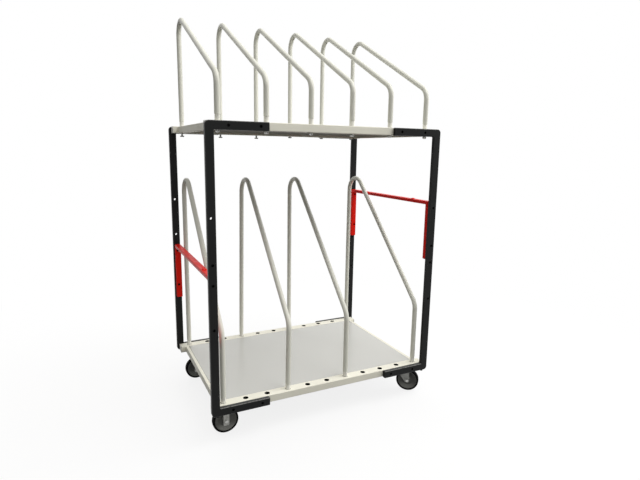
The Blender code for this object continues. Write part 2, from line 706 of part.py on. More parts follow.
def castor_axle(name, axle_line):
    """Axle bolt through the fork, with a head at one side and a nut at the other."""
    head_inner = FORK_OUTER_WIDTH / 2 + FIT_GAP
    head_outer = head_inner + AXLE_HEAD_HEIGHT
    upper_half = [
        (AXLE_HEAD_DIAMETER / 2, head_outer),
        (AXLE_HEAD_DIAMETER / 2, head_inner),
        (AXLE_DIAMETER / 2, head_inner),
    ]
    lower_half = [(radius, -height) for radius, height in reversed(upper_half)]
    profile = [(0.0, head_outer)] + upper_half + lower_half + [(0.0, -head_outer)]
    axle = turned(name, profile, TURNED_SIDES, ZINC)
    place_on_axle(axle, axle_line)


def castor_wheel(core_name, tyre_name, axle_line):
    """Wheel core with its hub and web, and the tyre round it."""
    rim_inner = CORE_RADIUS - RIM_THICKNESS
    bore = AXLE_DIAMETER / 2 + RUNNING_CLEARANCE
    front_half = [
        (bore, HUB_LENGTH / 2),
        (HUB_DIAMETER / 2, HUB_LENGTH / 2),
        (HUB_DIAMETER / 2 + CORE_DRAFT, WEB_THICKNESS / 2),
        (rim_inner - CORE_DRAFT, WEB_THICKNESS / 2),
        (rim_inner, RIM_WIDTH / 2),
        (CORE_RADIUS, RIM_WIDTH / 2),
    ]
    profile = front_half + [(radius, -height) for radius, height in reversed(front_half)]
    core = turned(core_name, profile, WHEEL_SIDES, CORE_PLASTIC, half_step=True)
    place_on_axle(core, axle_line)

    # The flats of the faceted tread lie on the true radius, and one of them rests on the floor
    tread_radius = WHEEL_DIAMETER / 2 / math.cos(math.pi / WHEEL_SIDES)
    tyre_half = [
        (CORE_RADIUS + FIT_GAP, WHEEL_WIDTH / 2),
        (tread_radius - TYRE_SHOULDER, WHEEL_WIDTH / 2),
        (tread_radius, TREAD_WIDTH / 2),
    ]
    tyre_profile = tyre_half + [(radius, -height) for radius, height in reversed(tyre_half)]
    tyre = turned(tyre_name, tyre_profile, WHEEL_SIDES, TYRE_RUBBER, half_step=True)
    place_on_axle(tyre, axle_line)


def place_on_axle(obj, axle_line):
    """Put a turned piece on a castor's axle line."""
    obj.parent = axle_line
    obj.rotation_euler = ALONG_Y
    shade_round(obj)


def empty(name, parent, location, angle=0.0):
    """Empty that carries pieces at a place, turned about the vertical."""
    holder = bpy.data.objects.new(name, None)
    PARTS.objects.link(holder)
    holder.parent = parent
    holder.location = location
    holder.rotation_euler = (0.0, 0.0, angle)
    return holder


def castor(side, end):
    """Castor in one corner of the lower shelf, on its pad."""
    name = f"{END_NAMES[end]}_{SIDE_NAMES[side]}"
    castor_pad(f"{name}_castor_pad", side, end)
    mount = empty(f"{name}_castor_mount", None, (side * CASTOR_X, end * CASTOR_Y, 0.0))
    if side == RIGHT:
        angle = FRONT_SWIVEL_ANGLE if end == FRONT else REAR_SWIVEL_ANGLE
        swivel = empty(f"{name}_swivel_axis", mount, (0.0, 0.0, 0.0), angle)
        castor_plate(f"{name}_castor_plate", mount)
        castor_fork(f"{name}_castor_fork", swivel)
        axle_line = empty(f"{name}_axle_line", swivel, (CASTOR_TRAIL, 0.0, AXLE_Z))
    else:
        castor_bracket(f"{name}_castor_bracket", mount)
        axle_line = empty(f"{name}_axle_line", mount, (0.0, 0.0, AXLE_Z))
    castor_axle(f"{name}_castor_axle", axle_line)
    castor_wheel(f"{name}_wheel_core", f"{name}_tyre", axle_line)


def shelf(level, rail_top):
    """Rails, crossbars and board of one shelf."""
    for end in (FRONT, REAR):
        rail(level, end, rail_top)
    for side in (LEFT, RIGHT):
        crossbar(level, side, rail_top)
    panel(level, rail_top)


def dividers(level, sockets, rail_top, shape):
    """Row of dividers on one shelf, numbered from the left."""
    for number, index in enumerate(sockets, 1):
        divider(f"{level}_divider_{number}", socket_x(index), rail_top, shape)


def main():
    for side in (LEFT, RIGHT):
        for end in (FRONT, REAR):
            end_frame(side, end)
            castor(side, end)
    shelf("lower", LOWER_RAIL_TOP)
    shelf("upper", UPPER_RAIL_TOP)
    lower_shape = (LOWER_FRONT_KNEE_HEIGHT, LOWER_REAR_KNEE_HEIGHT, LOWER_BEND_RADIUS)
    upper_shape = (UPPER_FRONT_KNEE_HEIGHT, UPPER_REAR_KNEE_HEIGHT, UPPER_BEND_RADIUS)
    dividers("lower", LOWER_DIVIDER_SOCKETS, LOWER_RAIL_TOP, lower_shape)
    dividers("upper", UPPER_DIVIDER_SOCKETS, UPPER_RAIL_TOP, upper_shape)
    handle(LEFT, LOW_HANDLE_HOLE_HEIGHT)
    handle(RIGHT, HIGH_HANDLE_HOLE_HEIGHT)


main()
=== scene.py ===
import math

import bmesh
import bpy
from mathutils import Matrix, Vector

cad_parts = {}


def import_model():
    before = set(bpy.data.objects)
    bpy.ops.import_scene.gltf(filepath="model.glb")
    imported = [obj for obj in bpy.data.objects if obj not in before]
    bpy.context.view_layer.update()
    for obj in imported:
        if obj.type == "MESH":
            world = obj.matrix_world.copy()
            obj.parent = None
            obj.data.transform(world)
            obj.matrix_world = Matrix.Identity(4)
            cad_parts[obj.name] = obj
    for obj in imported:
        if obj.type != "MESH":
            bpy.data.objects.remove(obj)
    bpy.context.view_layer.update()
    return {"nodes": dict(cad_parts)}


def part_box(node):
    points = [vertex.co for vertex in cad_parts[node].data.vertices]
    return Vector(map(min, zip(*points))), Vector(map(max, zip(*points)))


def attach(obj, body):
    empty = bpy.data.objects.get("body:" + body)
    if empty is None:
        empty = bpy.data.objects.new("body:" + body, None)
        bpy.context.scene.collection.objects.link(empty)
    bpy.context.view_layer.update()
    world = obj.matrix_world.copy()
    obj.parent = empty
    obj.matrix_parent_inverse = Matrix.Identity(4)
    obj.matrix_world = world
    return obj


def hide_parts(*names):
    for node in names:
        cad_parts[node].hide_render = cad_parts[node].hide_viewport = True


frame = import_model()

# Camera, worked out from the frame's straight edges in the photograph
CAMERA_PLACE = (-1.0697, -2.3980, 1.3371)
CAMERA_ANGLES = (79.424, -0.972, -26.515)
CAMERA_LENS = 27.20
SENSOR_WIDTH = 36.0

# Smoothness of round forms
ARC_STEP = math.radians(6)
TUBE_BEVEL_RESOLUTION = 10
HOLE_SIDES = 28
SOCKET_SIDES = 40
WHEEL_STEPS = 96
TURNED_STEPS = 40
SMALL_TURNED_STEPS = 20
SHOULDER_STEPS = 8
CAP_STEPS = 6
SMOOTH_ANGLE = math.radians(32)
WELD_DISTANCE = 0.000002

# Gap between neighbouring pieces that lie against each other
FIT_GAP = 0.0003

# End frames
POST_WIDTH = 0.038
OUTER_CORNER_RADIUS = 0.018
INNER_CORNER_RADIUS = 0.004
ARM_END_RADIUS = 0.004
TUBE_EDGE_RADIUS = 0.0035
TUBE_WALL = 0.002
EDGE_SEGMENTS = 4
BOLT_HOLE = 0.013
BOLT_SINK = 0.007
ARM_HOLE_INSET = 0.039
ARM_HOLE_SPACING = 0.140
HANDLE_HOLE_HEIGHTS = (0.410, 0.610, 0.700, 0.900)
HANDLE_HOLES_IN_USE = {"left": (0.410, 0.610), "right": (0.700, 0.900)}
SPARE_BOLTS = {"front_left_frame": (0.700,)}
PLUG_RECESS = 0.0012
PLUG_DEPTH = 0.008
PLUG_EDGE = 0.0012
PLUG_CORNER = 0.002
PLUG_SIDE_GAP = 0.0004
ARM_PLUG_LENGTH = 0.007
GLIDE_OFFSET = 0.028
GLIDE_RADIUS = 0.008
GLIDE_FOOT = 0.7
GLIDE_EDGE = 0.002
GLIDE_HEIGHT = 0.007

# How far the faces of a tube's rounded edge turn to its flat side
EDGE_FACING = (0.1, 0.99)

# Bolts in the frames, and shares of a head's or washer's size
BOLT_CLEARANCE = 0.0004
BOLT_DEPTH = 0.006
BOLT_DOME = 0.002
BOLT_DOME_STEPS = ((1.0, 0.0), (0.85, 0.6), (0.6, 0.9), (0.0, 1.0))
BOLT_SOCKET = 0.0045
BOLT_SOCKET_LENGTH = 0.005
BOLT_SOCKET_HEIGHT = 0.0015
HEAD_CHAMFER = 0.9
HEAD_FLAT = 0.96
WASHER_EDGE = 0.3

# Shelves
RAIL_WALL = 0.002
RAIL_EDGE_RADIUS = 0.003
SOCKET_DIAMETER = 0.026
SOCKET_COUNT = 11
SOCKET_INSET = 0.053
RAIL_END_CAP = 0.0033
END_CAP_EDGE = 0.0011
END_FACE_MARGIN = 0.001
CROSSBAR_LIP = 0.017
LIP_ROUNDING = 0.6
LEDGE_HEIGHT = 0.0122

# Shares of a rail's wall below its side and its top from which a face is inside
INSIDE_FROM_SIDE = 0.6
INSIDE_FROM_TOP = 0.3

# Dividers; the bends give the heights of both knees above the rail, and the radius
DIVIDER_TUBE = 0.025
DIVIDER_SPIGOT = 0.0225
SPIGOT_STANDOUT = 0.026
SPIGOT_GROOVE = 0.0195
GROOVE_HEIGHT = 0.0022
GROOVE_SLOPE = 0.0004
SHOULDER_CHAMFER = 0.0006
SHOULDER_STEP = 0.001
SPIGOT_DEPTH = 0.033
UPPER_BENDS = (0.188, 0.575, 0.068)
LOWER_BENDS = (0.336, 1.090, 0.080)
VENT_DIAMETER = 0.0068
VENT_DEPTH = 0.004
VENT_SIDES = 16
VENT_ANGLE = math.radians(68)
LEANS = {"lower_divider_2": math.radians(0.80)}

# Screws under the divider feet: a stem with a short tube across its end
SCREW_STEM = 0.0095
SCREW_DROP = 0.0155
SCREW_DROP_TIGHT = 0.006
SCREW_BAR = 0.0065
SCREW_BAR_LENGTH = 0.021
SCREW_EYE = 0.0125
SCREW_EYE_BORE = 0.0065
SCREW_EDGE = 0.0006
SCREW_GAP = 0.0004
SCREW_EYE_HEADING = 90.0
SCREW_EYE_SCATTER = 14.0
SCREW_BAR_SCATTER = 10.0
LOOSE_REAR_SCREWS = (1, 2, 3)

# Handles
HANDLE_TUBE_DEPTH = 0.022
HANDLE_BAR_HEIGHT = 0.0175
HANDLE_CORNER_RADIUS = 0.004
CAP_PLACE_Y = -0.250
CAP_RADIUS = 0.012
CAP_HEIGHT = 0.005
CAP_SINK = 0.001
HANDLE_PLUG_STANDOUT = 0.001

# Castors
AXLE_HEIGHT = 0.0625
CASTOR_X = 0.511
CASTOR_Y = 0.3102
CASTOR_TRAIL = 0.038
SWIVEL_ANGLES = {"front": -42.0, "rear": -35.0}
PLATE_SIZE = (0.090, 0.075)
PLATE_CORNER = 0.008
PLATE_THICKNESS = 0.0035
PLATE_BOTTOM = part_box("front_right_castor_plate")[1].z - PLATE_THICKNESS
PLATE_BOLTS = (0.070, 0.055)
PLATE_BOLT_GAP = 0.0001
PLATE_WASHER_RADII = (0.0075, 0.003)
PLATE_WASHER_HEIGHT = 0.0014
PLATE_HEAD = (0.0115, 0.0045)
RACE_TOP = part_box("front_right_castor_fork")[1].z
RACE_HEIGHT = 0.006
RACE_RADIUS = 0.027
RACE_BORE_RADIUS = 0.0068
RACE_EDGE = 0.002
UPPER_RACE_RADIUS = 0.031
UPPER_RACE_NECK = 0.027
UPPER_RACE_DOME = ((0.003, 0.001), (0.001, 0.002), (0.0, 0.0035))
KINGPIN_RADIUS = 0.006
KINGPIN_DROP = 0.005
KINGPIN_NUT = (0.017, 0.005)
KINGPIN_NUT_DROP = 0.0055
FORK_SHEET = 0.003
CROWN_TOP = RACE_TOP - RACE_HEIGHT
CROWN_BOTTOM = CROWN_TOP - FORK_SHEET
FORK_INNER = 0.020
FORK_OUTER = FORK_INNER + FORK_SHEET
FORK_LEAD = 0.026
FORK_BOSS = 0.0108
BOSS_ROUNDING = 0.95
FORK_LIP = 0.006
FORK_NOSE_RADIUS = 0.006
FORK_BEND = 0.004
FORK_INNER_BEND = 0.0015
TRIM_MARGIN = 0.004
FIXED_LEG_WIDTH = 0.028
FIXED_LEG_DROP = 0.021
FIXED_LEG_CORNER = 0.006
SHEET_EDGE = 0.0006
SHEET_EDGE_SEGMENTS = 2

# Wheels
TYRE_RADIUS = 0.0625
TYRE_WIDTH = 0.032
CORE_RADIUS = 0.0525
HUB_RADIUS = 0.014
HUB_LENGTH = 0.038
HUB_BORE_GAP = 0.0009
HUB_EDGE = 0.002
HUB_EDGE_MIDDLE = 0.0006
AXLE_RADIUS = 0.005
AXLE_STANDOUT = 0.001
AXLE_SEAT_GAP = 0.0002
AXLE_WASHER_RADIUS = 0.0085
AXLE_WASHER_HEIGHT = 0.0012
AXLE_HEAD = (0.0135, 0.0045)
BEARING_RADIUS = 0.0105
BEARING_BORE_RADIUS = 0.0062
BEARING_HEIGHT = 0.0008
BEARING_SINK = 0.0002
TYRE_SHOULDER = 0.006
TYRE_CROWN = 0.0004
TREAD_SHARE = 0.30

# The tyre's bead: out from the core's radius, and in from the tyre's side
TYRE_BEAD = ((FIT_GAP, 0.002), (0.002, 0.0006), (0.004, 0.0))

# Half of the core's section: out from the hub's and the core's radius, and out from the middle plane
HUB_FLANK = ((0.0008, 0.0095), (0.002, 0.006), (0.005, 0.004))
CORE_WEB = ((-0.025, 0.004), (-0.020, 0.005))
CORE_RIM = ((-0.004, 0.0134), (-0.003, 0.0141), (-0.0008, 0.0142), (0.0, 0.0134))

# Colours of the surfaces
BLACK = (0.0148, 0.0154, 0.0154)
WHITE = (0.735, 0.731, 0.650)
RAIL_WHITE = (0.854, 0.834, 0.725)
RED = (0.80, 0.013, 0.006)
BOARD_GREY = (0.574, 0.574, 0.543)
# Painted shade: the darker colour of the boards' faces that point down, and how much duller they are.
UNDERSIDE_PAINTED_SHADE = (0.140, 0.134, 0.112)
UNDERSIDE_DULLNESS = 4.0

# Floor and room
FLOOR_SIZE = 60.0
FLOOR_PALE = (0.86, 0.86, 0.86, 1.0)
FLOOR_BOUNCE = (0.06, 0.06, 0.056, 1.0)
FLOOR_FADE = (1.0, 2.8)
FLOOR_WHITE = 0.84
SKY_WAY = (0.70, -0.22, 0.68)
SKY_DIM = (0.0, 0.0, 0.0)
SKY_DIM_FROM = -0.75
SKY_BRIGHT = (1.20, 1.19, 1.165)
SKY_WHITE = (1.0, 1.0, 1.0, 1.0)

# Softboxes: place, target, size, watts, and whether gloss reflects them
LAMPS = {
    "key_softbox": ((1.5, -1.6, 4.4), (0.0, 0.0, 0.8), (2.6, 2.0), 70.0, True),
    "side_softbox": ((3.6, -0.8, 1.7), (0.0, 0.0, 0.9), (1.6, 2.2), 37.0, True),
    "back_softbox": ((-0.45, 2.5, 1.8), (-0.4, 0.0, 0.2), (1.4, 1.0), 17.0, False),
}

LEFT, RIGHT = -1, 1
FRONT, REAR = -1, 1
SIDES = {"left": LEFT, "right": RIGHT}
ENDS = {"front": FRONT, "rear": REAR}

# An outline's X, Y and depth turned to world X, Z, -Y and to world Y, Z, X
ALONG_Y = Matrix.Rotation(math.pi / 2, 4, "X")
ALONG_X = Matrix.Rotation(math.pi / 2, 4, "Z") @ ALONG_Y

# A fastener's own Z turned to the front and to the rear
OUTWARD = {way: Matrix.Rotation(-way * math.pi / 2, 4, "X") for way in (FRONT, REAR)}


# Materials

class Nodes:
    """Short ways to wire a tree of nodes."""

    def __init__(self, tree):
        self.tree = tree

    def feed(self, socket, value):
        """Link a socket, or set an input's own value."""
        if isinstance(value, bpy.types.NodeSocket):
            self.tree.links.new(value, socket)
        else:
            socket.default_value = value

    def add(self, kind, settings=None, **inputs):
        """New node with its settings made and its inputs set or linked."""
        node = self.tree.nodes.new(kind)
        for name, value in (settings or {}).items():
            setattr(node, name, value)
        for name, value in inputs.items():
            self.feed(node.inputs[name.replace("_", " ")], value)
        return node

    def span(self, value, low, high, to_low=0.0, to_high=1.0):
        """Value mapped smoothly to another range, and held there."""
        limits = {"From_Min": low, "From_Max": high, "To_Min": to_low, "To_Max": to_high}
        settings = {"interpolation_type": "SMOOTHSTEP"}
        return self.add("ShaderNodeMapRange", settings, Value=value, **limits).outputs["Result"]

    def mix(self, factor, first, second):
        """Colour between two others."""
        node = self.add("ShaderNodeMix", {"data_type": "RGBA"}, Factor=factor)
        for socket, value in ((node.inputs[6], first), (node.inputs[7], second)):
            self.feed(socket, value if isinstance(value, bpy.types.NodeSocket) else (*value, 1.0))
        return node.outputs[2]

    def blend(self, factor, first, second):
        """Shader between two others."""
        node = self.add("ShaderNodeMixShader", Fac=factor)
        self.feed(node.inputs[1], first)
        self.feed(node.inputs[2], second)
        return node.outputs["Shader"]

    def product(self, first, second, operation="MULTIPLY"):
        """Two values multiplied, or joined by another operation."""
        node = self.add("ShaderNodeMath", {"operation": operation})
        self.feed(node.inputs[0], first)
        self.feed(node.inputs[1], second)
        return node.outputs["Value"]

    def seen_directly(self):
        """1 where the camera, a reflection or a view through glass sees a surface, and 0 for its light."""
        path = self.add("ShaderNodeLightPath").outputs
        seen = path["Is Camera Ray"]
        for name in ("Is Glossy Ray", "Is Transmission Ray"):
            seen = self.product(seen, path[name], "MAXIMUM")
        return seen


class Paint(Nodes):
    """A Principled material and its procedural nodes."""

    def __init__(self, name):
        self.material = bpy.data.materials.new(name)
        self.material.use_nodes = True
        super().__init__(self.material.node_tree)
        self.shader = self.tree.nodes["Principled BSDF"]
        self.place = self.add("ShaderNodeTexCoord").outputs["Object"]

    def stretched(self, scale):
        """Object coordinates, scaled by a different amount on each axis."""
        return self.add("ShaderNodeMapping", Vector=self.place, Scale=scale).outputs["Vector"]

    def noise(self, scale, detail=2.0, roughness=0.5, vector=None):
        """Noise in the object's own coordinates, or in others."""
        inputs = {"Scale": scale, "Detail": detail, "Roughness": roughness}
        return self.add("ShaderNodeTexNoise", Vector=vector or self.place, **inputs).outputs["Fac"]

    def bump(self, height, strength, distance, under=None):
        """Normal of a fine relief, on top of another one if there is one."""
        node = self.add("ShaderNodeBump", Height=height, Strength=strength, Distance=distance)
        if under:
            self.feed(node.inputs["Normal"], under)
        return node.outputs["Normal"]

    def upward(self, low, high, to_low=0.0, to_high=1.0):
        """How far a surface faces up, mapped to a range."""
        normal = self.add("ShaderNodeNewGeometry").outputs["Normal"]
        facing = self.add("ShaderNodeSeparateXYZ", Vector=normal)
        return self.span(facing.outputs["Z"], low, high, to_low, to_high)

    def surface(self, **inputs):
        """Set or link inputs of the Principled shader."""
        for name, value in inputs.items():
            self.feed(self.shader.inputs[name.replace("_", " ")], value)
        return self.material


def shade(colour, factor):
    """Colour made lighter or darker."""
    return tuple(min(1.0, channel * factor) for channel in colour)


def powder_coat(name, colour, uneven, scuff_colour, scuff_amount, roughness, specular, dust_and_sheen=None):
    """Powder coat: fine orange peel, drifting tone, faint rub marks, and on faces that point up a lighter
    colour in patches, which is dust and painted light from above.
    """
    paint = Paint(name)
    drift = paint.span(paint.noise(5.0, 3.0), 0.35, 0.65)
    tone = paint.mix(drift, shade(colour, 1.0 - uneven), shade(colour, 1.0 + uneven))
    rubs = paint.noise(1.0, 5.0, 0.6, paint.stretched((34.0, 34.0, 9.0)))
    marks = paint.span(rubs, 0.62, 0.78, 0.0, scuff_amount)
    grain = paint.noise(1100.0, 1.0)
    peel = paint.noise(420.0)
    rough = paint.span(paint.noise(26.0, 3.0), 0.3, 0.7, roughness - 0.05, roughness + 0.07)
    fine = paint.bump(grain, 0.02, 0.0002)
    marked = paint.mix(marks, tone, scuff_colour)
    # Faces that point up turn lighter in patches: dust, and painted light from above.
    if dust_and_sheen:
        patches = paint.span(paint.noise(90.0, 4.0, 0.6), 0.3, 0.7, 0.45, 1.0)
        marked = paint.mix(paint.product(paint.upward(0.80, 0.98), patches), marked, dust_and_sheen)
    return paint.surface(
        Base_Color=marked,
        Roughness=rough,
        Specular_IOR_Level=specular,
        Normal=paint.bump(peel, 0.04, 0.0006, fine),
    )


def worn_and_highlit_edge(name, colour, bare_and_highlight, amount, roughness, specular):
    """Paint on a tube's rounded edge that turns to a second colour in ragged patches, most of all on top: a
    painted highlight on the black frames, rubbed paint on the red handles.
    """
    paint = Paint(name)
    patches = paint.noise(38.0, 5.0, 0.65)
    chips = paint.noise(210.0, 3.0, 0.6)
    rubbed = paint.product(paint.span(patches, 0.30, 0.50), paint.span(chips, 0.30, 0.52, 0.0, amount))
    return paint.surface(
        # Ragged patches, most where the edge faces up, take the second colour: a painted highlight on black,
        # rubbed paint on red.
        Base_Color=paint.mix(paint.product(rubbed, paint.upward(0.15, 0.60, 0.05, 1.0)), colour, bare_and_highlight),
        Roughness=paint.span(patches, 0.3, 0.7, roughness, roughness + 0.10),
        Specular_IOR_Level=specular,
        Normal=paint.bump(chips, 0.08, 0.0004),
    )


def melamine(name, colour):
    """Board facing: a fine pearl speckle and faint cloudiness, with painted shade below, where faces that
    point down take a darker, duller colour.
    """
    paint = Paint(name)
    speckle = paint.span(paint.noise(1400.0), 0.3, 0.7)
    cloud = paint.span(paint.noise(2.6, 3.0), 0.3, 0.7)
    rubbed = paint.span(paint.noise(1.0, 2.0, 0.5, paint.stretched((3.0, 12.0, 1.0))), 0.3, 0.7)
    base = paint.mix(cloud, shade(colour, 0.980), shade(colour, 1.015))
    speckled = paint.mix(0.5, base, paint.mix(speckle, shade(colour, 0.97), shade(colour, 1.03)))
    return paint.surface(
        # Faces that point down take the darker colour: painted shade.
        Base_Color=paint.mix(paint.upward(-0.8, -0.2), UNDERSIDE_PAINTED_SHADE, speckled),
        Roughness=paint.product(
            paint.span(rubbed, 0.0, 1.0, 0.235, 0.265),
            paint.upward(-0.8, -0.2, UNDERSIDE_DULLNESS, 1.0),
        ),
        Specular_IOR_Level=0.40,
        Normal=paint.bump(speckle, 0.01, 0.0002),
    )


def plated_steel(name, colour, roughness):
    """Zinc plate: cloudy crystals, draw marks and a dull patina."""
    paint = Paint(name)
    cloud = paint.span(paint.noise(60.0, 4.0, 0.6), 0.3, 0.7)
    draw = paint.noise(1.0, 3.0, 0.6, paint.stretched((900.0, 900.0, 40.0)))
    tone = paint.mix(cloud, shade(colour, 0.80), shade(colour, 1.12))
    return paint.surface(
        Base_Color=tone,
        Metallic=0.70,
        Specular_IOR_Level=0.25,
        Roughness=paint.span(draw, 0.3, 0.7, roughness - 0.06, roughness + 0.10),
        Normal=paint.bump(draw, 0.05, 0.0002),
    )


def moulded_plastic(name, colour, roughness, specular, texture=700.0, strength=0.08, dust_and_sheen=None):
    """Moulded plastic with a fine eroded texture and handling marks, and on slopes that face up a lighter
    colour, which is dust and a painted reflection of the light above.
    """
    paint = Paint(name)
    cloud = paint.span(paint.noise(18.0, 3.0), 0.3, 0.7)
    tone = paint.mix(cloud, shade(colour, 0.88), shade(colour, 1.12))
    # Slopes that face up turn lighter: dust, and a painted reflection of the light above.
    if dust_and_sheen:
        tone = paint.mix(paint.upward(0.10, 0.42), tone, dust_and_sheen)
    return paint.surface(
        Base_Color=tone,
        Roughness=paint.span(paint.noise(45.0, 3.0), 0.3, 0.7, roughness - 0.05, roughness + 0.08),
        Specular_IOR_Level=specular,
        Normal=paint.bump(paint.noise(texture), strength, 0.0003),
    )


def rubber(name, colour, dust_and_sheen, specular):
    """Black tyre rubber with floor dust in its pores."""
    paint = Paint(name)
    patches = paint.span(paint.noise(32.0, 5.0, 0.65), 0.48, 0.72, 0.0, 0.45)
    pores = paint.noise(900.0)
    return paint.surface(
        Base_Color=paint.mix(patches, colour, dust_and_sheen),
        Roughness=paint.span(pores, 0.3, 0.7, 0.62, 0.82),
        Specular_IOR_Level=specular,
        Normal=paint.bump(pores, 0.12, 0.0004),
    )


# Black frame paint; its tops turn a lighter grey in patches: dust, and painted light from above.
BLACK_PAINT = powder_coat(
    "black_powder_coat", BLACK, uneven=0.10, scuff_colour=(0.028, 0.028, 0.027), scuff_amount=0.30,
    roughness=0.36, specular=0.10, dust_and_sheen=(0.066, 0.066, 0.062),
)
WHITE_PAINT = powder_coat(
    "white_powder_coat", WHITE, uneven=0.02, scuff_colour=(0.60, 0.585, 0.52), scuff_amount=0.15,
    roughness=0.34, specular=0.26,
)
RAIL_PAINT = powder_coat(
    "white_rail_coat", RAIL_WHITE, uneven=0.02, scuff_colour=(0.72, 0.69, 0.60), scuff_amount=0.15,
    roughness=0.46, specular=0.16,
)
RED_PAINT = powder_coat(
    "red_powder_coat", RED, uneven=0.03, scuff_colour=(0.60, 0.012, 0.007), scuff_amount=0.16,
    roughness=0.36, specular=0.09,
)
# Wheel core; its slopes that face up turn a light grey: dust, and a painted reflection of the light above.
CORE_PLASTIC = moulded_plastic(
    "dark_grey_plastic", (0.096, 0.097, 0.088),
    roughness=0.44, specular=0.25, texture=500.0, strength=0.10, dust_and_sheen=(0.225, 0.226, 0.210),
)
# Edge paint of the black frames: its light grey patches are a painted highlight along the edges, most of all
# on top.
BLACK_EDGE = worn_and_highlit_edge(
    "black_edge_painted_highlight", BLACK, (0.215, 0.212, 0.203), amount=0.95, roughness=0.30, specular=0.15,
)
RED_EDGE = worn_and_highlit_edge("red_worn_edge", RED, (0.64, 0.02, 0.015), amount=0.30, roughness=0.34, specular=0.10)
BOARD = melamine("grey_melamine_board", BOARD_GREY)
WHITE_PLASTIC = moulded_plastic("white_plastic", (0.790, 0.780, 0.720), roughness=0.42, specular=0.30)
BLACK_PLASTIC = moulded_plastic("black_plastic", (0.010, 0.010, 0.010), roughness=0.48, specular=0.15)
BLACK_STEEL = moulded_plastic("black_steel", (0.005, 0.005, 0.005), roughness=0.62, specular=0.08)
# Near-black inside hollow tubes and on the walls of holes: painted shade.
TUBE_INSIDE = moulded_plastic("dark_tube_inside", (0.0045, 0.0045, 0.0040), roughness=0.75, specular=0.05)
ZINC = plated_steel("zinc_plated_steel", (0.205, 0.205, 0.192), roughness=0.40)
# Lighter copy of the zinc for axle heads, their washers and the front screw eyes: a painted highlight.
HIGHLIGHT_ZINC = plated_steel("zinc_painted_highlight", (0.50, 0.50, 0.48), roughness=0.34)
# Lighter copy of the zinc for the fixed brackets: painted light.
BRACKET_ZINC = plated_steel("bracket_zinc", (0.300, 0.300, 0.280), roughness=0.40)
TYRE_RUBBER = rubber("black_rubber", (0.0030, 0.0030, 0.0030), dust_and_sheen=(0.010, 0.0097, 0.009), specular=0.04)


# Mesh tools

def moved(x, y, z):
    """Matrix of a move."""
    return Matrix.Translation((x, y, z))


def add_object(name, data, *paints):
    """New object in the scene with its materials."""
    obj = bpy.data.objects.new(name, data)
    bpy.context.scene.collection.objects.link(obj)
    if paints:
        data.materials.clear()
        for paint in paints:
            data.materials.append(paint)
    return obj


def evaluated_mesh(obj):
    """Mesh of an object with its modifiers, or of a curve."""
    bpy.context.view_layer.update()
    return bpy.data.meshes.new_from_object(obj.evaluated_get(bpy.context.evaluated_depsgraph_get()))


def apply_modifiers(obj):
    """Make an object's modified mesh its own."""
    mesh = evaluated_mesh(obj)
    obj.modifiers.clear()
    old, obj.data = obj.data, mesh
    bpy.data.meshes.remove(old)
    return obj


def mesh_from(work, name):
    """Mesh of a finished bmesh, which is freed."""
    mesh = bpy.data.meshes.new(name)
    work.to_mesh(mesh)
    work.free()
    return mesh


def clean(mesh):
    """Weld loose seams and point the faces out."""
    work = bmesh.new()
    work.from_mesh(mesh)
    bmesh.ops.remove_doubles(work, verts=work.verts, dist=WELD_DISTANCE)
    bmesh.ops.recalc_face_normals(work, faces=work.faces)
    work.to_mesh(mesh)
    work.free()


def curve_mesh(name, curve):
    """Clean mesh of a curve with its bevel."""
    source = add_object(name, curve)
    mesh = evaluated_mesh(source)
    bpy.data.objects.remove(source)
    clean(mesh)
    return mesh


def arc_outline(corners, radii):
    """Outline through the corners, each rounded by its own radius with a fine arc."""
    points = []
    count = len(corners)
    for index, (x, y) in enumerate(corners):
        radius = radii[index]
        if radius <= 0.0:
            points.append((x, y))
            continue
        before = corners[index - 1]
        after = corners[(index + 1) % count]
        to_before = math.atan2(before[1] - y, before[0] - x)
        to_after = math.atan2(after[1] - y, after[0] - x)
        opening = (to_after - to_before + math.pi) % (2 * math.pi) - math.pi
        middle = to_before + opening / 2
        reach = radius / math.sin(abs(opening) / 2)
        centre = (x + reach * math.cos(middle), y + reach * math.sin(middle))
        sweep = math.copysign(math.pi - abs(opening), -opening)
        start = middle + math.pi - sweep / 2
        steps = max(3, round(abs(sweep) / ARC_STEP))
        for step in range(steps + 1):
            angle = start + sweep * step / steps
            points.append((centre[0] + radius * math.cos(angle), centre[1] + radius * math.sin(angle)))
    return points


def box_outline(width, height, radius):
    """Rectangle about the origin with rounded corners."""
    x, y = width / 2, height / 2
    return arc_outline([(-x, -y), (x, -y), (x, y), (-x, y)], [radius] * 4)


def extruded(name, outlines, depth, matrix, *paints, edge=0.0):
    """Outlines, the later ones as holes, extruded about their plane with rounded edges, in place."""
    curve = bpy.data.curves.new(name, "CURVE")
    curve.dimensions = "2D"
    curve.fill_mode = "BOTH"
    curve.extrude = depth / 2 - edge
    curve.bevel_depth = edge
    curve.bevel_resolution = EDGE_SEGMENTS - 1
    curve.offset = -edge
    for outline in outlines:
        spline = curve.splines.new("POLY")
        spline.points.add(len(outline) - 1)
        for point, (x, y) in zip(spline.points, outline):
            point.co = (x, y, 0.0, 1.0)
        spline.use_cyclic_u = True
    mesh = curve_mesh(name, curve)
    mesh.transform(matrix)
    return add_object(name, mesh, *paints)


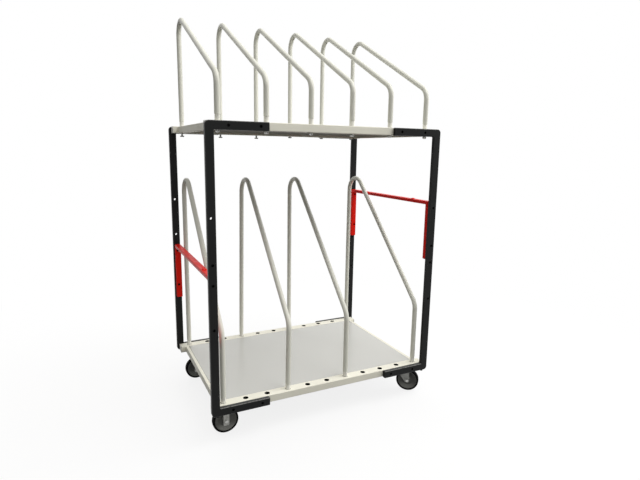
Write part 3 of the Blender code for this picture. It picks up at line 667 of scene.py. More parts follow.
def turned(name, profile, steps, matrix, *paints):
    """Profile of (radius, height) points turned about its Z axis and put in place."""
    work = bmesh.new()
    corners = [work.verts.new((radius, 0.0, height)) for radius, height in profile]
    edges = [work.edges.new(pair) for pair in zip(corners, corners[1:])]
    if profile[0][0] > 0.0:
        edges.append(work.edges.new((corners[-1], corners[0])))
    whole = {"cent": (0.0, 0.0, 0.0), "axis": (0.0, 0.0, 1.0), "angle": 2 * math.pi}
    bmesh.ops.spin(work, geom=corners + edges, steps=steps, use_merge=True, **whole)
    mesh = mesh_from(work, name)
    clean(mesh)
    mesh.transform(matrix)
    return add_object(name, mesh, *paints)


def pin(radius, low, high):
    """Section of a plain pin between two heights."""
    return [(0.0, low), (radius, low), (radius, high), (0.0, high)]


def ring(outer, inner, low, high, edge):
    """Section of a ring between two heights, with broken outer edges."""
    upper = [(outer, high - edge), (outer - edge, high), (inner, high)]
    return [(inner, low), (outer - edge, low), (outer, low + edge)] + upper


def cylinders(places, diameter, length, axis, sides=HOLE_SIDES, paints=()):
    """Cutter of equal cylinders, each centred on a place; its walls take the last of the paints."""
    turn = ALONG_Y if axis == "Y" else Matrix()
    radii = {"radius1": diameter / 2, "radius2": diameter / 2}
    work = bmesh.new()
    for place in places:
        matrix = Matrix.Translation(place) @ turn
        bmesh.ops.create_cone(work, cap_ends=True, segments=sides, depth=length, matrix=matrix, **radii)
    mesh = mesh_from(work, "cutter")
    cutter = add_object("cutter", mesh, *paints)
    for face in mesh.polygons:
        face.material_index = max(0, len(paints) - 1)
    return cutter


def combine(obj, other, operation):
    """Cut, join or intersect two objects, and remove the second."""
    modifier = obj.modifiers.new("combine", "BOOLEAN")
    modifier.operation = operation
    modifier.solver = "EXACT"
    modifier.object = other
    apply_modifiers(obj)
    bpy.data.objects.remove(other)
    return obj


def soft_edged(obj, sharper_than):
    """Round the edges of a sheet that are sharper than an angle in degrees."""
    modifier = obj.modifiers.new("rounding", "BEVEL")
    modifier.width = SHEET_EDGE
    modifier.segments = SHEET_EDGE_SEGMENTS
    modifier.limit_method = "ANGLE"
    modifier.angle_limit = math.radians(sharper_than)
    modifier.use_clamp_overlap = True
    return apply_modifiers(obj)


def smooth(obj):
    """Smooth shading on curves, flat shading on flats, and sharp edges kept."""
    obj.data.shade_smooth()
    obj.data.set_sharp_from_angle(angle=SMOOTH_ANGLE)
    weighted = obj.modifiers.new("flat_faces", "WEIGHTED_NORMAL")
    weighted.keep_sharp = True
    return apply_modifiers(obj)


def joined(name, objects):
    """Several loose pieces as one object."""
    first = objects[0]
    with bpy.context.temp_override(active_object=first, selected_editable_objects=objects):
        bpy.ops.object.join()
    first.name = name
    return first


def dress(obj, body, slot, *nodes):
    """Shade a piece, tie it to its body, and let it stand for its solids; the slot is not used."""
    smooth(obj)
    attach(obj, body)
    if nodes:
        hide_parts(*nodes)
    return obj


def paint_node(name, paint):
    """Give a solid that stays in view its material."""
    mesh = frame["nodes"][name].data
    mesh.materials.clear()
    mesh.materials.append(paint)


# Fasteners

def hexagon(across_flats):
    """Outline of a hexagon head."""
    radius = across_flats / math.sqrt(3)
    return [(radius * math.cos(k * math.pi / 3), radius * math.sin(k * math.pi / 3)) for k in range(6)]


def hex_head(name, across_flats, height, matrix, paint):
    """Hexagon head or nut with its corners turned off, standing on its own origin."""
    head = extruded(name, [hexagon(across_flats)], height, moved(0.0, 0.0, height / 2), paint)
    corner = across_flats / math.sqrt(3)
    flat = across_flats / 2
    chamfer = corner - flat
    wide = corner + chamfer
    shoulder = height - chamfer * HEAD_CHAMFER
    # A cone as high as the head would leave stray faces, so it runs on to its tip.
    tip = shoulder + wide * (height - shoulder) / (wide - flat * HEAD_FLAT)
    profile = [(0.0, -height), (wide, -height), (wide, shoulder), (0.0, tip)]
    cone = turned(name + "_cone", profile, TURNED_STEPS, Matrix())
    combine(head, cone, "INTERSECT")
    clean(head.data)
    head.data.transform(matrix)
    return head


def washer(name, outer, inner, height, matrix, paint):
    """Flat washer with a broken edge, standing on its own origin."""
    profile = ring(outer, inner, 0.0, height, height * WASHER_EDGE)
    return turned(name, profile, TURNED_STEPS, matrix, paint)


def sunk_bolt(name, matrix, paint):
    """Button head with a hexagon socket, a little below the rim of its hole."""
    radius = BOLT_HOLE / 2 - BOLT_CLEARANCE
    profile = [(0.0, -BOLT_DEPTH), (radius, -BOLT_DEPTH)]
    profile += [(radius * out, BOLT_DOME * up) for out, up in BOLT_DOME_STEPS]
    head = turned(name, profile, SMALL_TURNED_STEPS, Matrix(), paint)
    seat = moved(0.0, 0.0, BOLT_SOCKET_HEIGHT)
    socket = extruded(name + "_socket", [hexagon(BOLT_SOCKET)], BOLT_SOCKET_LENGTH, seat)
    combine(head, socket, "DIFFERENCE")
    clean(head.data)
    head.data.transform(matrix)
    return head


# End frames

def frame_piece(end, side):
    """Black C-shaped frame with rounded edges that carry a painted highlight in worn-looking patches, drilled
    through, with plugged arm ends.
    """
    node = f"{end}_{side}_frame"
    low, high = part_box(node)
    depth = high.y - low.y
    centre_y = (high.y + low.y) / 2
    height = high.z - low.z
    arm = high.x - low.x
    toward = -SIDES[side]
    outer_x = low.x if side == "left" else high.x
    lower = [(0.0, 0.0), (arm, 0.0), (arm, POST_WIDTH), (POST_WIDTH, POST_WIDTH)]
    upper = [(x, height - z) for x, z in reversed(lower)]
    radii = [OUTER_CORNER_RADIUS, ARM_END_RADIUS, ARM_END_RADIUS, INNER_CORNER_RADIUS]
    rounded = arc_outline(lower + upper, radii + radii[::-1])
    outline = [(toward * x, z) for x, z in rounded]
    place = moved(outer_x, centre_y, low.z)
    paints = (BLACK_PAINT, BLACK_EDGE, TUBE_INSIDE)
    piece = extruded(f"{node}_tube", [outline], depth, place @ ALONG_Y, *paints, edge=TUBE_EDGE_RADIUS)
    # Rounded edges toward the frame's outer face take the edge paint with its painted highlight.
    for face in piece.data.polygons:
        if EDGE_FACING[0] < face.normal.y * ENDS[end] < EDGE_FACING[1]:
            face.material_index = 1

    post_x = outer_x + toward * POST_WIDTH / 2
    arm_end = outer_x + toward * arm
    holes = [(post_x, centre_y, low.z + at) for at in HANDLE_HOLE_HEIGHTS]
    arm_levels = (low.z + POST_WIDTH / 2, high.z - POST_WIDTH / 2)
    arm_xs = [arm_end - toward * (ARM_HOLE_INSET + step) for step in (0.0, ARM_HOLE_SPACING)]
    arm_holes = [(x, centre_y, z) for z in arm_levels for x in arm_xs]
    # The hole walls take the near-black inside colour: painted shade.
    drill = cylinders(holes + arm_holes, BOLT_HOLE, 2 * depth, "Y", paints=paints)
    combine(piece, drill, "DIFFERENCE")
    inner_width, inner_depth = POST_WIDTH - 2 * TUBE_WALL, depth - 2 * TUBE_WALL
    for level in arm_levels:
        pocket_place = moved(arm_end, centre_y, level) @ ALONG_X
        outline = box_outline(inner_depth, inner_width, PLUG_CORNER)
        combine(piece, extruded("pocket", [outline], 2 * PLUG_DEPTH, pocket_place), "DIFFERENCE")
    dress(piece, "frame", "black_frame", node)

    plugs = []
    for level in arm_levels:
        middle = arm_end - toward * (PLUG_RECESS + PLUG_DEPTH / 2)
        plug_place = moved(middle, centre_y, level) @ ALONG_X
        outline = box_outline(inner_depth - PLUG_SIDE_GAP, inner_width - PLUG_SIDE_GAP, PLUG_CORNER)
        plugs.append(extruded("plug", [outline], ARM_PLUG_LENGTH, plug_place, BLACK_PLASTIC, edge=PLUG_EDGE))
    dress(joined(f"{node}_end_plugs", plugs), "frame", "black_frame")

    out = ENDS[end]
    used = [(post_x, low.z + at) for at in HANDLE_HOLES_IN_USE[side] + SPARE_BOLTS.get(node, ())]
    spots = used + [(x, z) for z in arm_levels for x in arm_xs]
    bolts = []
    for x, z in spots:
        seat = moved(x, centre_y + out * (depth / 2 - BOLT_SINK), z) @ OUTWARD[out]
        bolts.append(sunk_bolt("bolt", seat, BLACK_STEEL))
    dress(joined(f"{node}_bolts", bolts), "frame", "black_frame")

    glide_place = moved(outer_x + toward * GLIDE_OFFSET, centre_y, low.z - GLIDE_HEIGHT)
    glide_top = GLIDE_HEIGHT - FIT_GAP
    profile = [(0.0, 0.0), (GLIDE_RADIUS * GLIDE_FOOT, 0.0), (GLIDE_RADIUS, GLIDE_EDGE)]
    profile += [(GLIDE_RADIUS, glide_top), (0.0, glide_top)]
    dress(turned(f"{node}_glide", profile, TURNED_STEPS, glide_place, BLACK_PLASTIC), "frame", "black_frame")


# Shelves

def socket_places(rail_length):
    """Places of the divider sockets along a rail, from the left."""
    first = -rail_length / 2 + SOCKET_INSET
    pitch = -2 * first / (SOCKET_COUNT - 1)
    return [first + pitch * index for index in range(SOCKET_COUNT)]


def rail_piece(level, end):
    """White rail: a hollow tube with sockets in its top wall, its inside and socket walls painted near-black
    as shade.
    """
    node = f"{level}_{end}_rail"
    low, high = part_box(node)
    length = high.x - low.x
    width, height = high.y - low.y, high.z - low.z
    middle = (low + high) / 2
    outside = box_outline(width, height, RAIL_EDGE_RADIUS)
    inside = box_outline(width - 2 * RAIL_WALL, height - 2 * RAIL_WALL, RAIL_EDGE_RADIUS - RAIL_WALL)
    place = Matrix.Translation(middle) @ ALONG_X
    piece = extruded(f"{node}_tube", [outside, inside], length, place, RAIL_PAINT, TUBE_INSIDE)
    places = [(x, middle.y, high.z) for x in socket_places(length + 2 * RAIL_END_CAP)]
    combine(piece, cylinders(places, SOCKET_DIAMETER, 4 * RAIL_WALL, "Z", SOCKET_SIDES), "DIFFERENCE")
    # Faces inside the rail and on the socket walls take the near-black inside colour: painted shade.
    for face in piece.data.polygons:
        off = face.center - middle
        within_width = abs(off.y) < width / 2 - RAIL_WALL * INSIDE_FROM_SIDE
        within_height = abs(off.z) < height / 2 - RAIL_WALL * INSIDE_FROM_TOP
        if within_width and within_height and abs(off.x) < length / 2 - END_FACE_MARGIN:
            face.material_index = 1
    dress(piece, "frame", "white_tube", node)


def end_cap_piece(level, end, side):
    """Plastic cap on a rail's end, with a soft edge."""
    node = f"{level}_{end}_{side}_end_cap"
    low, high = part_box(node)
    thickness = RAIL_END_CAP - FIT_GAP
    outer = low.x if side == "left" else high.x
    middle = (low + high) / 2
    outline = box_outline(high.y - low.y, high.z - low.z, RAIL_EDGE_RADIUS)
    place = moved(outer - SIDES[side] * thickness / 2, middle.y, middle.z) @ ALONG_X
    piece = extruded(f"{node}_cover", [outline], thickness, place, WHITE_PLASTIC, edge=END_CAP_EDGE)
    dress(piece, "frame", "white_plastic", node)


def crossbar_piece(level, side):
    """Rebated bar across a shelf's end."""
    node = f"{level}_{side}_crossbar"
    low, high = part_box(node)
    width, height = high.x - low.x, high.z - low.z
    outer = low.x if side == "left" else high.x
    toward = -SIDES[side]
    corners = [(0.0, 0.0), (width, 0.0), (width, LEDGE_HEIGHT)]
    corners += [(CROSSBAR_LIP, LEDGE_HEIGHT), (CROSSBAR_LIP, height), (0.0, height)]
    radius = RAIL_EDGE_RADIUS
    outline = arc_outline(corners, [radius, radius, 0.0, 0.0, radius * LIP_ROUNDING, radius])
    outline = [(toward * x, z) for x, z in outline]
    place = moved(outer, (low.y + high.y) / 2, low.z) @ ALONG_Y
    piece = extruded(f"{node}_bar", [outline], high.y - low.y, place, RAIL_PAINT)
    dress(piece, "frame", "white_tube", node)


# Dividers

def divider_path(leg, bends):
    """Points of (depth, height, diameter) along a divider, from the front foot to the rear foot."""
    front_knee, rear_knee, radius = bends
    foot = -SPIGOT_DEPTH
    corners = [(-leg, foot), (-leg, front_knee), (leg, rear_knee), (leg, foot)]
    arcs = arc_outline(corners, [0.0, radius, radius, 0.0])[1:-1]
    shoulder = SPIGOT_STANDOUT
    foot_steps = [
        (foot, DIVIDER_SPIGOT),
        (shoulder - GROOVE_HEIGHT - GROOVE_SLOPE, DIVIDER_SPIGOT),
        (shoulder - GROOVE_HEIGHT, SPIGOT_GROOVE),
        (shoulder - GROOVE_SLOPE, SPIGOT_GROOVE),
        (shoulder, DIVIDER_TUBE - SHOULDER_STEP),
        (shoulder + SHOULDER_CHAMFER, DIVIDER_TUBE),
    ]
    front = [(-leg, height, diameter) for height, diameter in foot_steps]
    rear = [(leg, height, diameter) for height, diameter in reversed(foot_steps)]
    return front + [(y, z, DIVIDER_TUBE) for y, z in arcs] + rear


def divider_place(node):
    """Where a divider stands along the rails, and how far its legs are from the middle."""
    low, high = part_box(node)
    return (low.x + high.x) / 2, (high.y - low.y - DIVIDER_TUBE) / 2


def divider_piece(level, number, bends):
    """Bent tube with stepped feet and a vent hole inside its rear bend."""
    node = f"{level}_divider_{number}"
    x, leg = divider_place(node)
    rail_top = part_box(f"{level}_front_rail")[1].z
    curve = bpy.data.curves.new(node, "CURVE")
    curve.dimensions = "3D"
    curve.bevel_depth = DIVIDER_TUBE / 2
    curve.bevel_resolution = TUBE_BEVEL_RESOLUTION
    curve.use_fill_caps = True
    path = divider_path(leg, bends)
    spline = curve.splines.new("POLY")
    spline.points.add(len(path) - 1)
    for point, (y, z, diameter) in zip(spline.points, path):
        point.co = (x, y, rail_top + z, 1.0)
        point.radius = diameter / DIVIDER_TUBE
    mesh = curve_mesh(node + "_path", curve)
    paints = (WHITE_PAINT, WHITE_PLASTIC, TUBE_INSIDE)
    piece = add_object(f"{node}_tube", mesh, *paints)
    for face in mesh.polygons:
        above_rail = face.center.z - rail_top
        if above_rail < SPIGOT_STANDOUT - GROOVE_HEIGHT:
            face.material_index = 1

    front_knee, rear_knee, radius = bends
    slope = math.atan2(rear_knee - front_knee, 2 * leg)
    bend_start = rear_knee - radius * math.tan((math.pi / 2 + slope) / 2)
    inside = radius - DIVIDER_TUBE / 2
    way = Vector((0.0, math.cos(VENT_ANGLE), math.sin(VENT_ANGLE)))
    vent = Vector((x, leg - radius, rail_top + bend_start)) + way * inside
    # The vent's wall takes the near-black inside colour: painted shade.
    drill = cylinders([(0.0, 0.0, 0.0)], VENT_DIAMETER, 2 * VENT_DEPTH, "Z", VENT_SIDES, paints)
    drill.data.transform(Matrix.Translation(vent) @ way.to_track_quat("Z", "X").to_matrix().to_4x4())
    combine(piece, drill, "DIFFERENCE")
    foot = moved(x, 0.0, rail_top)
    lean = Matrix.Rotation(LEANS.get(node, 0.0), 4, "Y")
    piece.data.transform(foot @ lean @ foot.inverted())
    dress(piece, "frame", "white_tube", node)


def foot_screws(level, count):
    """Screws that hold the divider feet from below: with an eye in front on the upper shelf, and a crossbar
    behind.
    """
    pieces = []
    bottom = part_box(f"{level}_front_rail")[0].z
    for number in range(1, count + 1):
        x, leg = divider_place(f"{level}_divider_{number}")
        scatter = number % 3 - 1
        if level == "upper":
            heading = math.radians(SCREW_EYE_HEADING + SCREW_EYE_SCATTER * scatter)
            front = moved(x, -leg, bottom) @ Matrix.Rotation(heading, 4, "Z")
            # The front screw's eye takes the lighter zinc: a painted highlight.
            pieces.append(foot_screw(front, SCREW_DROP_TIGHT, SCREW_EYE, SCREW_EYE_BORE, HIGHLIGHT_ZINC))
        heading = math.radians(SCREW_BAR_SCATTER * scatter)
        drop = SCREW_DROP if number in LOOSE_REAR_SCREWS else SCREW_DROP_TIGHT
        rear = moved(x, leg, bottom) @ Matrix.Rotation(heading, 4, "Z")
        pieces.append(foot_screw(rear, drop, SCREW_BAR, SCREW_BAR / 2, ZINC))
    dress(joined(f"{level}_foot_screws", pieces), "frame", "zinc_steel")


def foot_screw(place, drop, diameter, bore, paint):
    """Screw under a rail, with a short tube of the given diameter across its end."""
    stem = pin(SCREW_STEM / 2, -drop, -SCREW_GAP)
    parts = [turned("stem", stem, SMALL_TURNED_STEPS, place, paint)]
    half = SCREW_BAR_LENGTH / 2
    tube = ring(diameter / 2, bore / 2, -half, half, SCREW_EDGE)
    across = place @ moved(0.0, 0.0, -drop) @ Matrix.Rotation(math.pi / 2, 4, "Y")
    parts.append(turned("bar", tube, SMALL_TURNED_STEPS, across, paint))
    return joined("foot_screw", parts)


# Handles

def handle_piece(side):
    """Red inverted U of tube, drilled through, with a domed plug on its bar."""
    node = f"{side}_handle"
    low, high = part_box(node)
    half = (high.y - low.y) / 2
    inner = half - HANDLE_TUBE_DEPTH
    length = high.z - low.z
    width = high.x - low.x
    middle_x = (low.x + high.x) / 2
    post_x = middle_x + SIDES[side] * (POST_WIDTH - width) / 2
    front_leg = [(-half, -length), (-inner, -length), (-inner, -HANDLE_BAR_HEIGHT)]
    rear_leg = [(-y, z) for y, z in reversed(front_leg)]
    corners = front_leg + rear_leg + [(half, 0.0), (-half, 0.0)]
    outline = arc_outline(corners, [0.0] * 6 + [HANDLE_CORNER_RADIUS] * 2)
    place = moved(middle_x, 0.0, high.z) @ ALONG_X
    paints = (RED_PAINT, RED_EDGE, TUBE_INSIDE)
    piece = extruded(f"{node}_tube", [outline], width, place, *paints, edge=TUBE_EDGE_RADIUS)
    for face in piece.data.polygons:
        if EDGE_FACING[0] < abs(face.normal.x) < EDGE_FACING[1]:
            face.material_index = 1
    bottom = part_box(f"front_{side}_frame")[0].z
    leg = half - HANDLE_TUBE_DEPTH / 2
    heights = [bottom + at for at in HANDLE_HOLES_IN_USE[side]]
    holes = [(post_x, end * leg, z) for z in heights for end in (FRONT, REAR)]
    # The hole walls take the near-black inside colour: painted shade.
    drill = cylinders(holes, BOLT_HOLE, 2 * HANDLE_TUBE_DEPTH, "Y", paints=paints)
    combine(piece, drill, "DIFFERENCE")
    dress(piece, "frame", "red_handle", node)

    profile = [(0.0, CAP_HEIGHT)]
    for step in range(1, CAP_STEPS + 1):
        angle = step / CAP_STEPS * math.pi / 2
        profile.append((CAP_RADIUS * math.sin(angle), CAP_HEIGHT * math.cos(angle)))
    profile += [(CAP_RADIUS, -CAP_SINK), (0.0, -CAP_SINK)]
    cap_place = moved(middle_x, CAP_PLACE_Y, high.z)
    cap = turned(f"{node}_plug", profile, TURNED_STEPS, cap_place, RED_EDGE)
    dress(cap, "frame", "red_handle")

    ends = []
    for end in (FRONT, REAR):
        seat = moved(middle_x, end * leg, low.z + PLUG_DEPTH / 2 - HANDLE_PLUG_STANDOUT)
        outline = box_outline(width - 2 * TUBE_WALL, HANDLE_TUBE_DEPTH - 2 * TUBE_WALL, PLUG_CORNER)
        ends.append(extruded("plug", [outline], PLUG_DEPTH, seat, BLACK_PLASTIC, edge=PLUG_EDGE))
    dress(joined(f"{node}_end_plugs", ends), "frame", "black_frame")


# Castors

def plate_bolts(name, place):
    """Bolt heads with washers under a castor's plate."""
    parts = []
    upside_down = Matrix.Rotation(math.pi, 4, "X")
    for x in (-PLATE_BOLTS[0] / 2, PLATE_BOLTS[0] / 2):
        for y in (-PLATE_BOLTS[1] / 2, PLATE_BOLTS[1] / 2):
            seat = place @ moved(x, y, PLATE_BOTTOM - PLATE_BOLT_GAP) @ upside_down
            parts.append(washer("washer", *PLATE_WASHER_RADII, PLATE_WASHER_HEIGHT, seat, ZINC))
            head = seat @ moved(0.0, 0.0, PLATE_WASHER_HEIGHT)
            parts.append(hex_head("head", *PLATE_HEAD, head, ZINC))
    dress(joined(name, parts), "frame", "zinc_steel")


def plate_blank(name, place, paint):
    """Castor plate with rounded corners."""
    seat = place @ moved(0.0, 0.0, PLATE_BOTTOM + PLATE_THICKNESS / 2)
    return extruded(name, [box_outline(*PLATE_SIZE, PLATE_CORNER)], PLATE_THICKNESS, seat, paint)


def fixed_bracket(end, place):
    """Fixed castor bracket: plate and two straight legs with soft edges."""
    node = f"{end}_left_castor_bracket"
    # The bracket takes the lighter copy of the zinc: painted light.
    bracket = plate_blank(f"{node}_steel", place, BRACKET_ZINC)
    half = FIXED_LEG_WIDTH / 2
    top = PLATE_BOTTOM + PLATE_THICKNESS / 2
    bottom = AXLE_HEIGHT - FIXED_LEG_DROP
    corners = [(-half, bottom), (half, bottom), (half, top), (-half, top)]
    outline = arc_outline(corners, [FIXED_LEG_CORNER, FIXED_LEG_CORNER, 0.0, 0.0])
    for way in (FRONT, REAR):
        seat = place @ moved(0.0, way * (FORK_OUTER - FORK_SHEET / 2), 0.0) @ ALONG_Y
        combine(bracket, extruded("leg", [outline], FORK_SHEET, seat), "UNION")
    soft_edged(bracket, sharper_than=40.0)
    dress(bracket, "frame", "zinc_steel", node)


def swivel_plate(end, place):
    """Plate of a swivel castor with its domed upper race and kingpin."""
    node = f"{end}_right_castor_plate"
    plate = soft_edged(plate_blank(f"{node}_steel", place, ZINC), sharper_than=50.0)
    inside = PLATE_BOTTOM + PLATE_THICKNESS / 2
    under = RACE_TOP + FIT_GAP
    pin_end = CROWN_BOTTOM - KINGPIN_DROP
    profile = [(0.0, inside), (UPPER_RACE_NECK, inside)]
    profile += [(UPPER_RACE_RADIUS - inward, PLATE_BOTTOM - down) for inward, down in UPPER_RACE_DOME]
    profile += [(UPPER_RACE_RADIUS, under), (KINGPIN_RADIUS, under)]
    profile += [(KINGPIN_RADIUS, pin_end), (0.0, pin_end)]
    combine(plate, turned("race", profile, WHEEL_STEPS, place), "UNION")
    dress(plate, "frame", "zinc_steel", node)
    nut_place = place @ moved(0.0, 0.0, CROWN_BOTTOM - KINGPIN_NUT_DROP)
    dress(hex_head(f"{end}_right_kingpin_nut", *KINGPIN_NUT, nut_place, ZINC), "frame", "zinc_steel")


def swivel_fork(end, place):
    """Pressed fork: a bent channel trimmed to tapered legs, with the lower race."""
    node = f"{end}_right_castor_fork"
    back = CASTOR_TRAIL + FORK_BOSS
    boss_bottom = AXLE_HEIGHT - FORK_BOSS
    below = boss_bottom - TRIM_MARGIN
    above = CROWN_TOP + TRIM_MARGIN
    one_leg = [(-FORK_OUTER, below), (-FORK_INNER, below), (-FORK_INNER, CROWN_BOTTOM)]
    other_leg = [(-y, z) for y, z in reversed(one_leg)]
    section = one_leg + other_leg + [(FORK_OUTER, CROWN_TOP), (-FORK_OUTER, CROWN_TOP)]
    bends = [0.0, 0.0, FORK_INNER_BEND, FORK_INNER_BEND, 0.0, 0.0, FORK_BEND, FORK_BEND]
    channel = arc_outline(section, bends)
    seat = place @ moved((back - FORK_LEAD) / 2, 0.0, 0.0) @ ALONG_X
    fork = extruded(f"{node}_steel", [channel], FORK_LEAD + back + 2 * TRIM_MARGIN, seat, ZINC)
    corners = [(-FORK_LEAD, CROWN_BOTTOM - FORK_LIP), (CASTOR_TRAIL - FORK_BOSS, boss_bottom)]
    corners += [(back, boss_bottom), (back, above), (-FORK_LEAD, above)]
    boss_radius = BOSS_ROUNDING * FORK_BOSS
    trim = arc_outline(corners, [FORK_NOSE_RADIUS, boss_radius, boss_radius, 0.0, 0.0])
    combine(fork, extruded("trim", [trim], 3 * FORK_OUTER, place @ ALONG_Y), "INTERSECT")
    soft_edged(fork, sharper_than=40.0)
    inside = (CROWN_BOTTOM + CROWN_TOP) / 2
    profile = [(RACE_BORE_RADIUS, RACE_TOP), (RACE_RADIUS - RACE_EDGE, RACE_TOP)]
    profile += [(RACE_RADIUS, RACE_TOP - RACE_EDGE), (RACE_RADIUS, CROWN_TOP + RACE_EDGE / 2)]
    profile += [(RACE_RADIUS - RACE_EDGE, inside), (RACE_BORE_RADIUS, inside)]
    combine(fork, turned("race", profile, WHEEL_STEPS, place), "UNION")
    dress(fork, f"{end}_right_swivel", "zinc_steel", node)


def axle_piece(end, side, place, body):
    """Axle bolt with a hexagon head, a nut and washers."""
    node = f"{end}_{side}_castor_axle"
    half = FORK_OUTER + AXLE_STANDOUT
    shaft = pin(AXLE_RADIUS, -half, half)
    parts = [turned("shaft", shaft, TURNED_STEPS, place @ ALONG_Y, ZINC)]
    for way in (FRONT, REAR):
        seat = place @ moved(0.0, way * (FORK_OUTER + AXLE_SEAT_GAP), 0.0) @ OUTWARD[way]
        # Washers and heads take the lighter zinc: a painted highlight.
        parts.append(washer("washer", AXLE_WASHER_RADIUS, AXLE_RADIUS, AXLE_WASHER_HEIGHT, seat, HIGHLIGHT_ZINC))
        head = seat @ moved(0.0, 0.0, AXLE_WASHER_HEIGHT)
        parts.append(hex_head("head", *AXLE_HEAD, head, HIGHLIGHT_ZINC))
    dress(joined(f"{node}_bolt", parts), body, "zinc_steel", node)


def mirrored(half):
    """Closed profile from one half of a wheel's section, mirrored about its middle plane."""
    return half + [(radius, -height) for radius, height in reversed(half)]


def wheel_pieces(end, side, place):
    """Wheel: tyre with round shoulders, dished core with a rim lip, and hub bearings."""
    name = f"{end}_{side}"
    body = f"{name}_wheel"
    half_width = TYRE_WIDTH / 2
    tyre_half = [(CORE_RADIUS + out, half_width - inward) for out, inward in TYRE_BEAD]
    shoulder_radius = TYRE_RADIUS - TYRE_SHOULDER - TYRE_CROWN
    for step in range(SHOULDER_STEPS + 1):
        angle = step / SHOULDER_STEPS * math.pi / 2
        across = half_width - TYRE_SHOULDER + TYRE_SHOULDER * math.cos(angle)
        tyre_half.append((shoulder_radius + TYRE_SHOULDER * math.sin(angle), across))
    tyre_half.append((TYRE_RADIUS, half_width * TREAD_SHARE))
    matrix = place @ ALONG_Y
    tyre = turned(f"{name}_tyre_rubber", mirrored(tyre_half), WHEEL_STEPS, matrix, TYRE_RUBBER)
    dress(tyre, body, "tyre_rubber", f"{name}_tyre")

    hub_half = HUB_LENGTH / 2
    core_half = [
        (AXLE_RADIUS + HUB_BORE_GAP, hub_half),
        (HUB_RADIUS - HUB_EDGE, hub_half),
        (HUB_RADIUS - HUB_EDGE_MIDDLE, hub_half - HUB_EDGE_MIDDLE),
        (HUB_RADIUS, hub_half - HUB_EDGE),
    ]
    core_half += [(HUB_RADIUS + out, across) for out, across in HUB_FLANK]
    core_half += [(CORE_RADIUS + out, across) for out, across in CORE_WEB + CORE_RIM]
    core = turned(f"{name}_wheel_core_plastic", mirrored(core_half), WHEEL_STEPS, matrix, CORE_PLASTIC)
    dress(core, body, "wheel_plastic", f"{name}_wheel_core")

    rings = []
    for way in (FRONT, REAR):
        seat = place @ moved(0.0, way * (hub_half - BEARING_SINK), 0.0) @ OUTWARD[way]
        rings.append(washer("ring", BEARING_RADIUS, BEARING_BORE_RADIUS, BEARING_HEIGHT, seat, ZINC))
    dress(joined(f"{name}_hub_bearings", rings), body, "zinc_steel")


def castor_pieces(end, side):
    """All pieces of one castor."""
    mount = moved(SIDES[side] * CASTOR_X, ENDS[end] * CASTOR_Y, 0.0)
    plate_bolts(f"{end}_{side}_castor_bolts", mount)
    paint_node(f"{end}_{side}_castor_pad", RAIL_PAINT)
    if side == "left":
        fixed_bracket(end, mount)
        axle = mount @ moved(0.0, 0.0, AXLE_HEIGHT)
        axle_piece(end, side, axle, "frame")
    else:
        swivel = mount @ Matrix.Rotation(math.radians(SWIVEL_ANGLES[end]), 4, "Z")
        swivel_plate(end, mount)
        swivel_fork(end, swivel)
        axle = swivel @ moved(CASTOR_TRAIL, 0.0, AXLE_HEIGHT)
        axle_piece(end, side, axle, f"{end}_right_swivel")
    wheel_pieces(end, side, axle)


# Stage

def empty_nodes(owner):
    """Empty node tree of a material or a world."""
    owner.use_nodes = True
    owner.node_tree.nodes.clear()
    return Nodes(owner.node_tree)


def floor():
    """Pale floor that keeps the shadow near the trolley and fades to the white backdrop."""
    paint = bpy.data.materials.new("pale_floor")
    nodes = empty_nodes(paint)
    place = nodes.add("ShaderNodeTexCoord").outputs["Object"]
    reach = nodes.add("ShaderNodeVectorMath", {"operation": "LENGTH"}, Vector=place).outputs["Value"]
    pale = nodes.add("ShaderNodeBsdfDiffuse", Color=FLOOR_PALE).outputs["BSDF"]
    white = nodes.add("ShaderNodeEmission").outputs["Emission"]
    bounce = nodes.add("ShaderNodeBsdfDiffuse", Color=FLOOR_BOUNCE).outputs["BSDF"]
    shown = nodes.blend(nodes.span(reach, *FLOOR_FADE, FLOOR_WHITE, 1.0), pale, white)
    nodes.add("ShaderNodeOutputMaterial", Surface=nodes.blend(nodes.seen_directly(), bounce, shown))
    work = bmesh.new()
    bmesh.ops.create_grid(work, x_segments=2, y_segments=2, size=FLOOR_SIZE)
    add_object("floor", mesh_from(work, "floor"), paint)


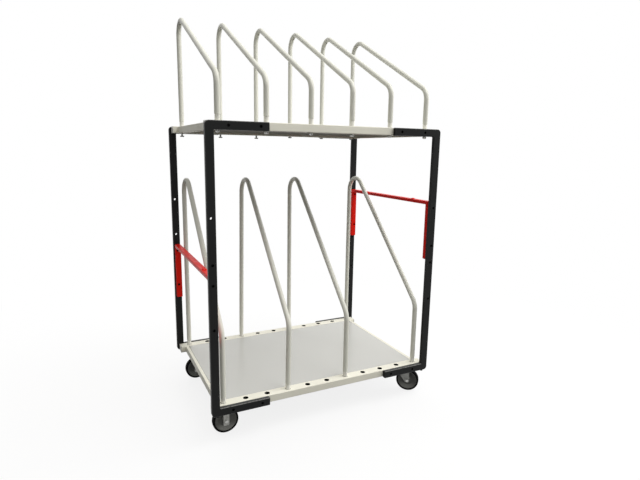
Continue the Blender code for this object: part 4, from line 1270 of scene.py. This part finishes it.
def world():
    """White backdrop to the eye, and a soft room, brightest from the front right above, as light."""
    made = bpy.data.worlds.new("studio")
    bpy.context.scene.world = made
    nodes = empty_nodes(made)
    place = nodes.add("ShaderNodeTexCoord").outputs["Generated"]
    facing = nodes.add("ShaderNodeVectorMath", {"operation": "DOT_PRODUCT"}, Vector=place)
    facing.inputs[1].default_value = SKY_WAY
    share = nodes.add("ShaderNodeMapRange", Value=facing.outputs["Value"], From_Min=SKY_DIM_FROM)
    tone = nodes.mix(share.outputs["Result"], SKY_DIM, SKY_BRIGHT)
    room = nodes.add("ShaderNodeBackground", Color=tone).outputs["Background"]
    white = nodes.add("ShaderNodeBackground", Color=SKY_WHITE).outputs["Background"]
    nodes.add("ShaderNodeOutputWorld", Surface=nodes.blend(nodes.seen_directly(), room, white))


def softbox(name, place, target, size, power, reflected):
    """Area lamp that looks at a target, and that gloss may reflect or not."""
    lamp = bpy.data.lights.new(name, "AREA")
    lamp.shape = "RECTANGLE"
    lamp.size, lamp.size_y = size
    lamp.energy = power
    obj = add_object(name, lamp)
    obj.location = place
    obj.rotation_euler = (Vector(target) - Vector(place)).to_track_quat("-Z", "Y").to_euler()
    obj.visible_camera = False
    obj.visible_glossy = reflected


def camera():
    """Camera at the photograph's viewing angle."""
    data = bpy.data.cameras.new("camera")
    data.sensor_fit = "HORIZONTAL"
    data.sensor_width = SENSOR_WIDTH
    data.lens = CAMERA_LENS
    obj = add_object("camera", data)
    obj.location = CAMERA_PLACE
    obj.rotation_euler = [math.radians(angle) for angle in CAMERA_ANGLES]
    bpy.context.scene.camera = obj


def stage():
    """Camera, floor, backdrop and lamps."""
    camera()
    floor()
    world()
    for name, settings in LAMPS.items():
        softbox(name, *settings)
    bpy.context.scene.view_settings.view_transform = "Standard"


def trolley():
    """Every piece of the object."""
    for end in ENDS:
        for side in SIDES:
            frame_piece(end, side)
            castor_pieces(end, side)
    for level, count, bends in (("lower", 4, LOWER_BENDS), ("upper", 6, UPPER_BENDS)):
        for end in ENDS:
            rail_piece(level, end)
            for side in SIDES:
                end_cap_piece(level, end, side)
        for side in SIDES:
            crossbar_piece(level, side)
        paint_node(f"{level}_panel", BOARD)
        for number in range(1, count + 1):
            divider_piece(level, number, bends)
        foot_screws(level, count)
    for side in SIDES:
        handle_piece(side)


stage()
trolley()
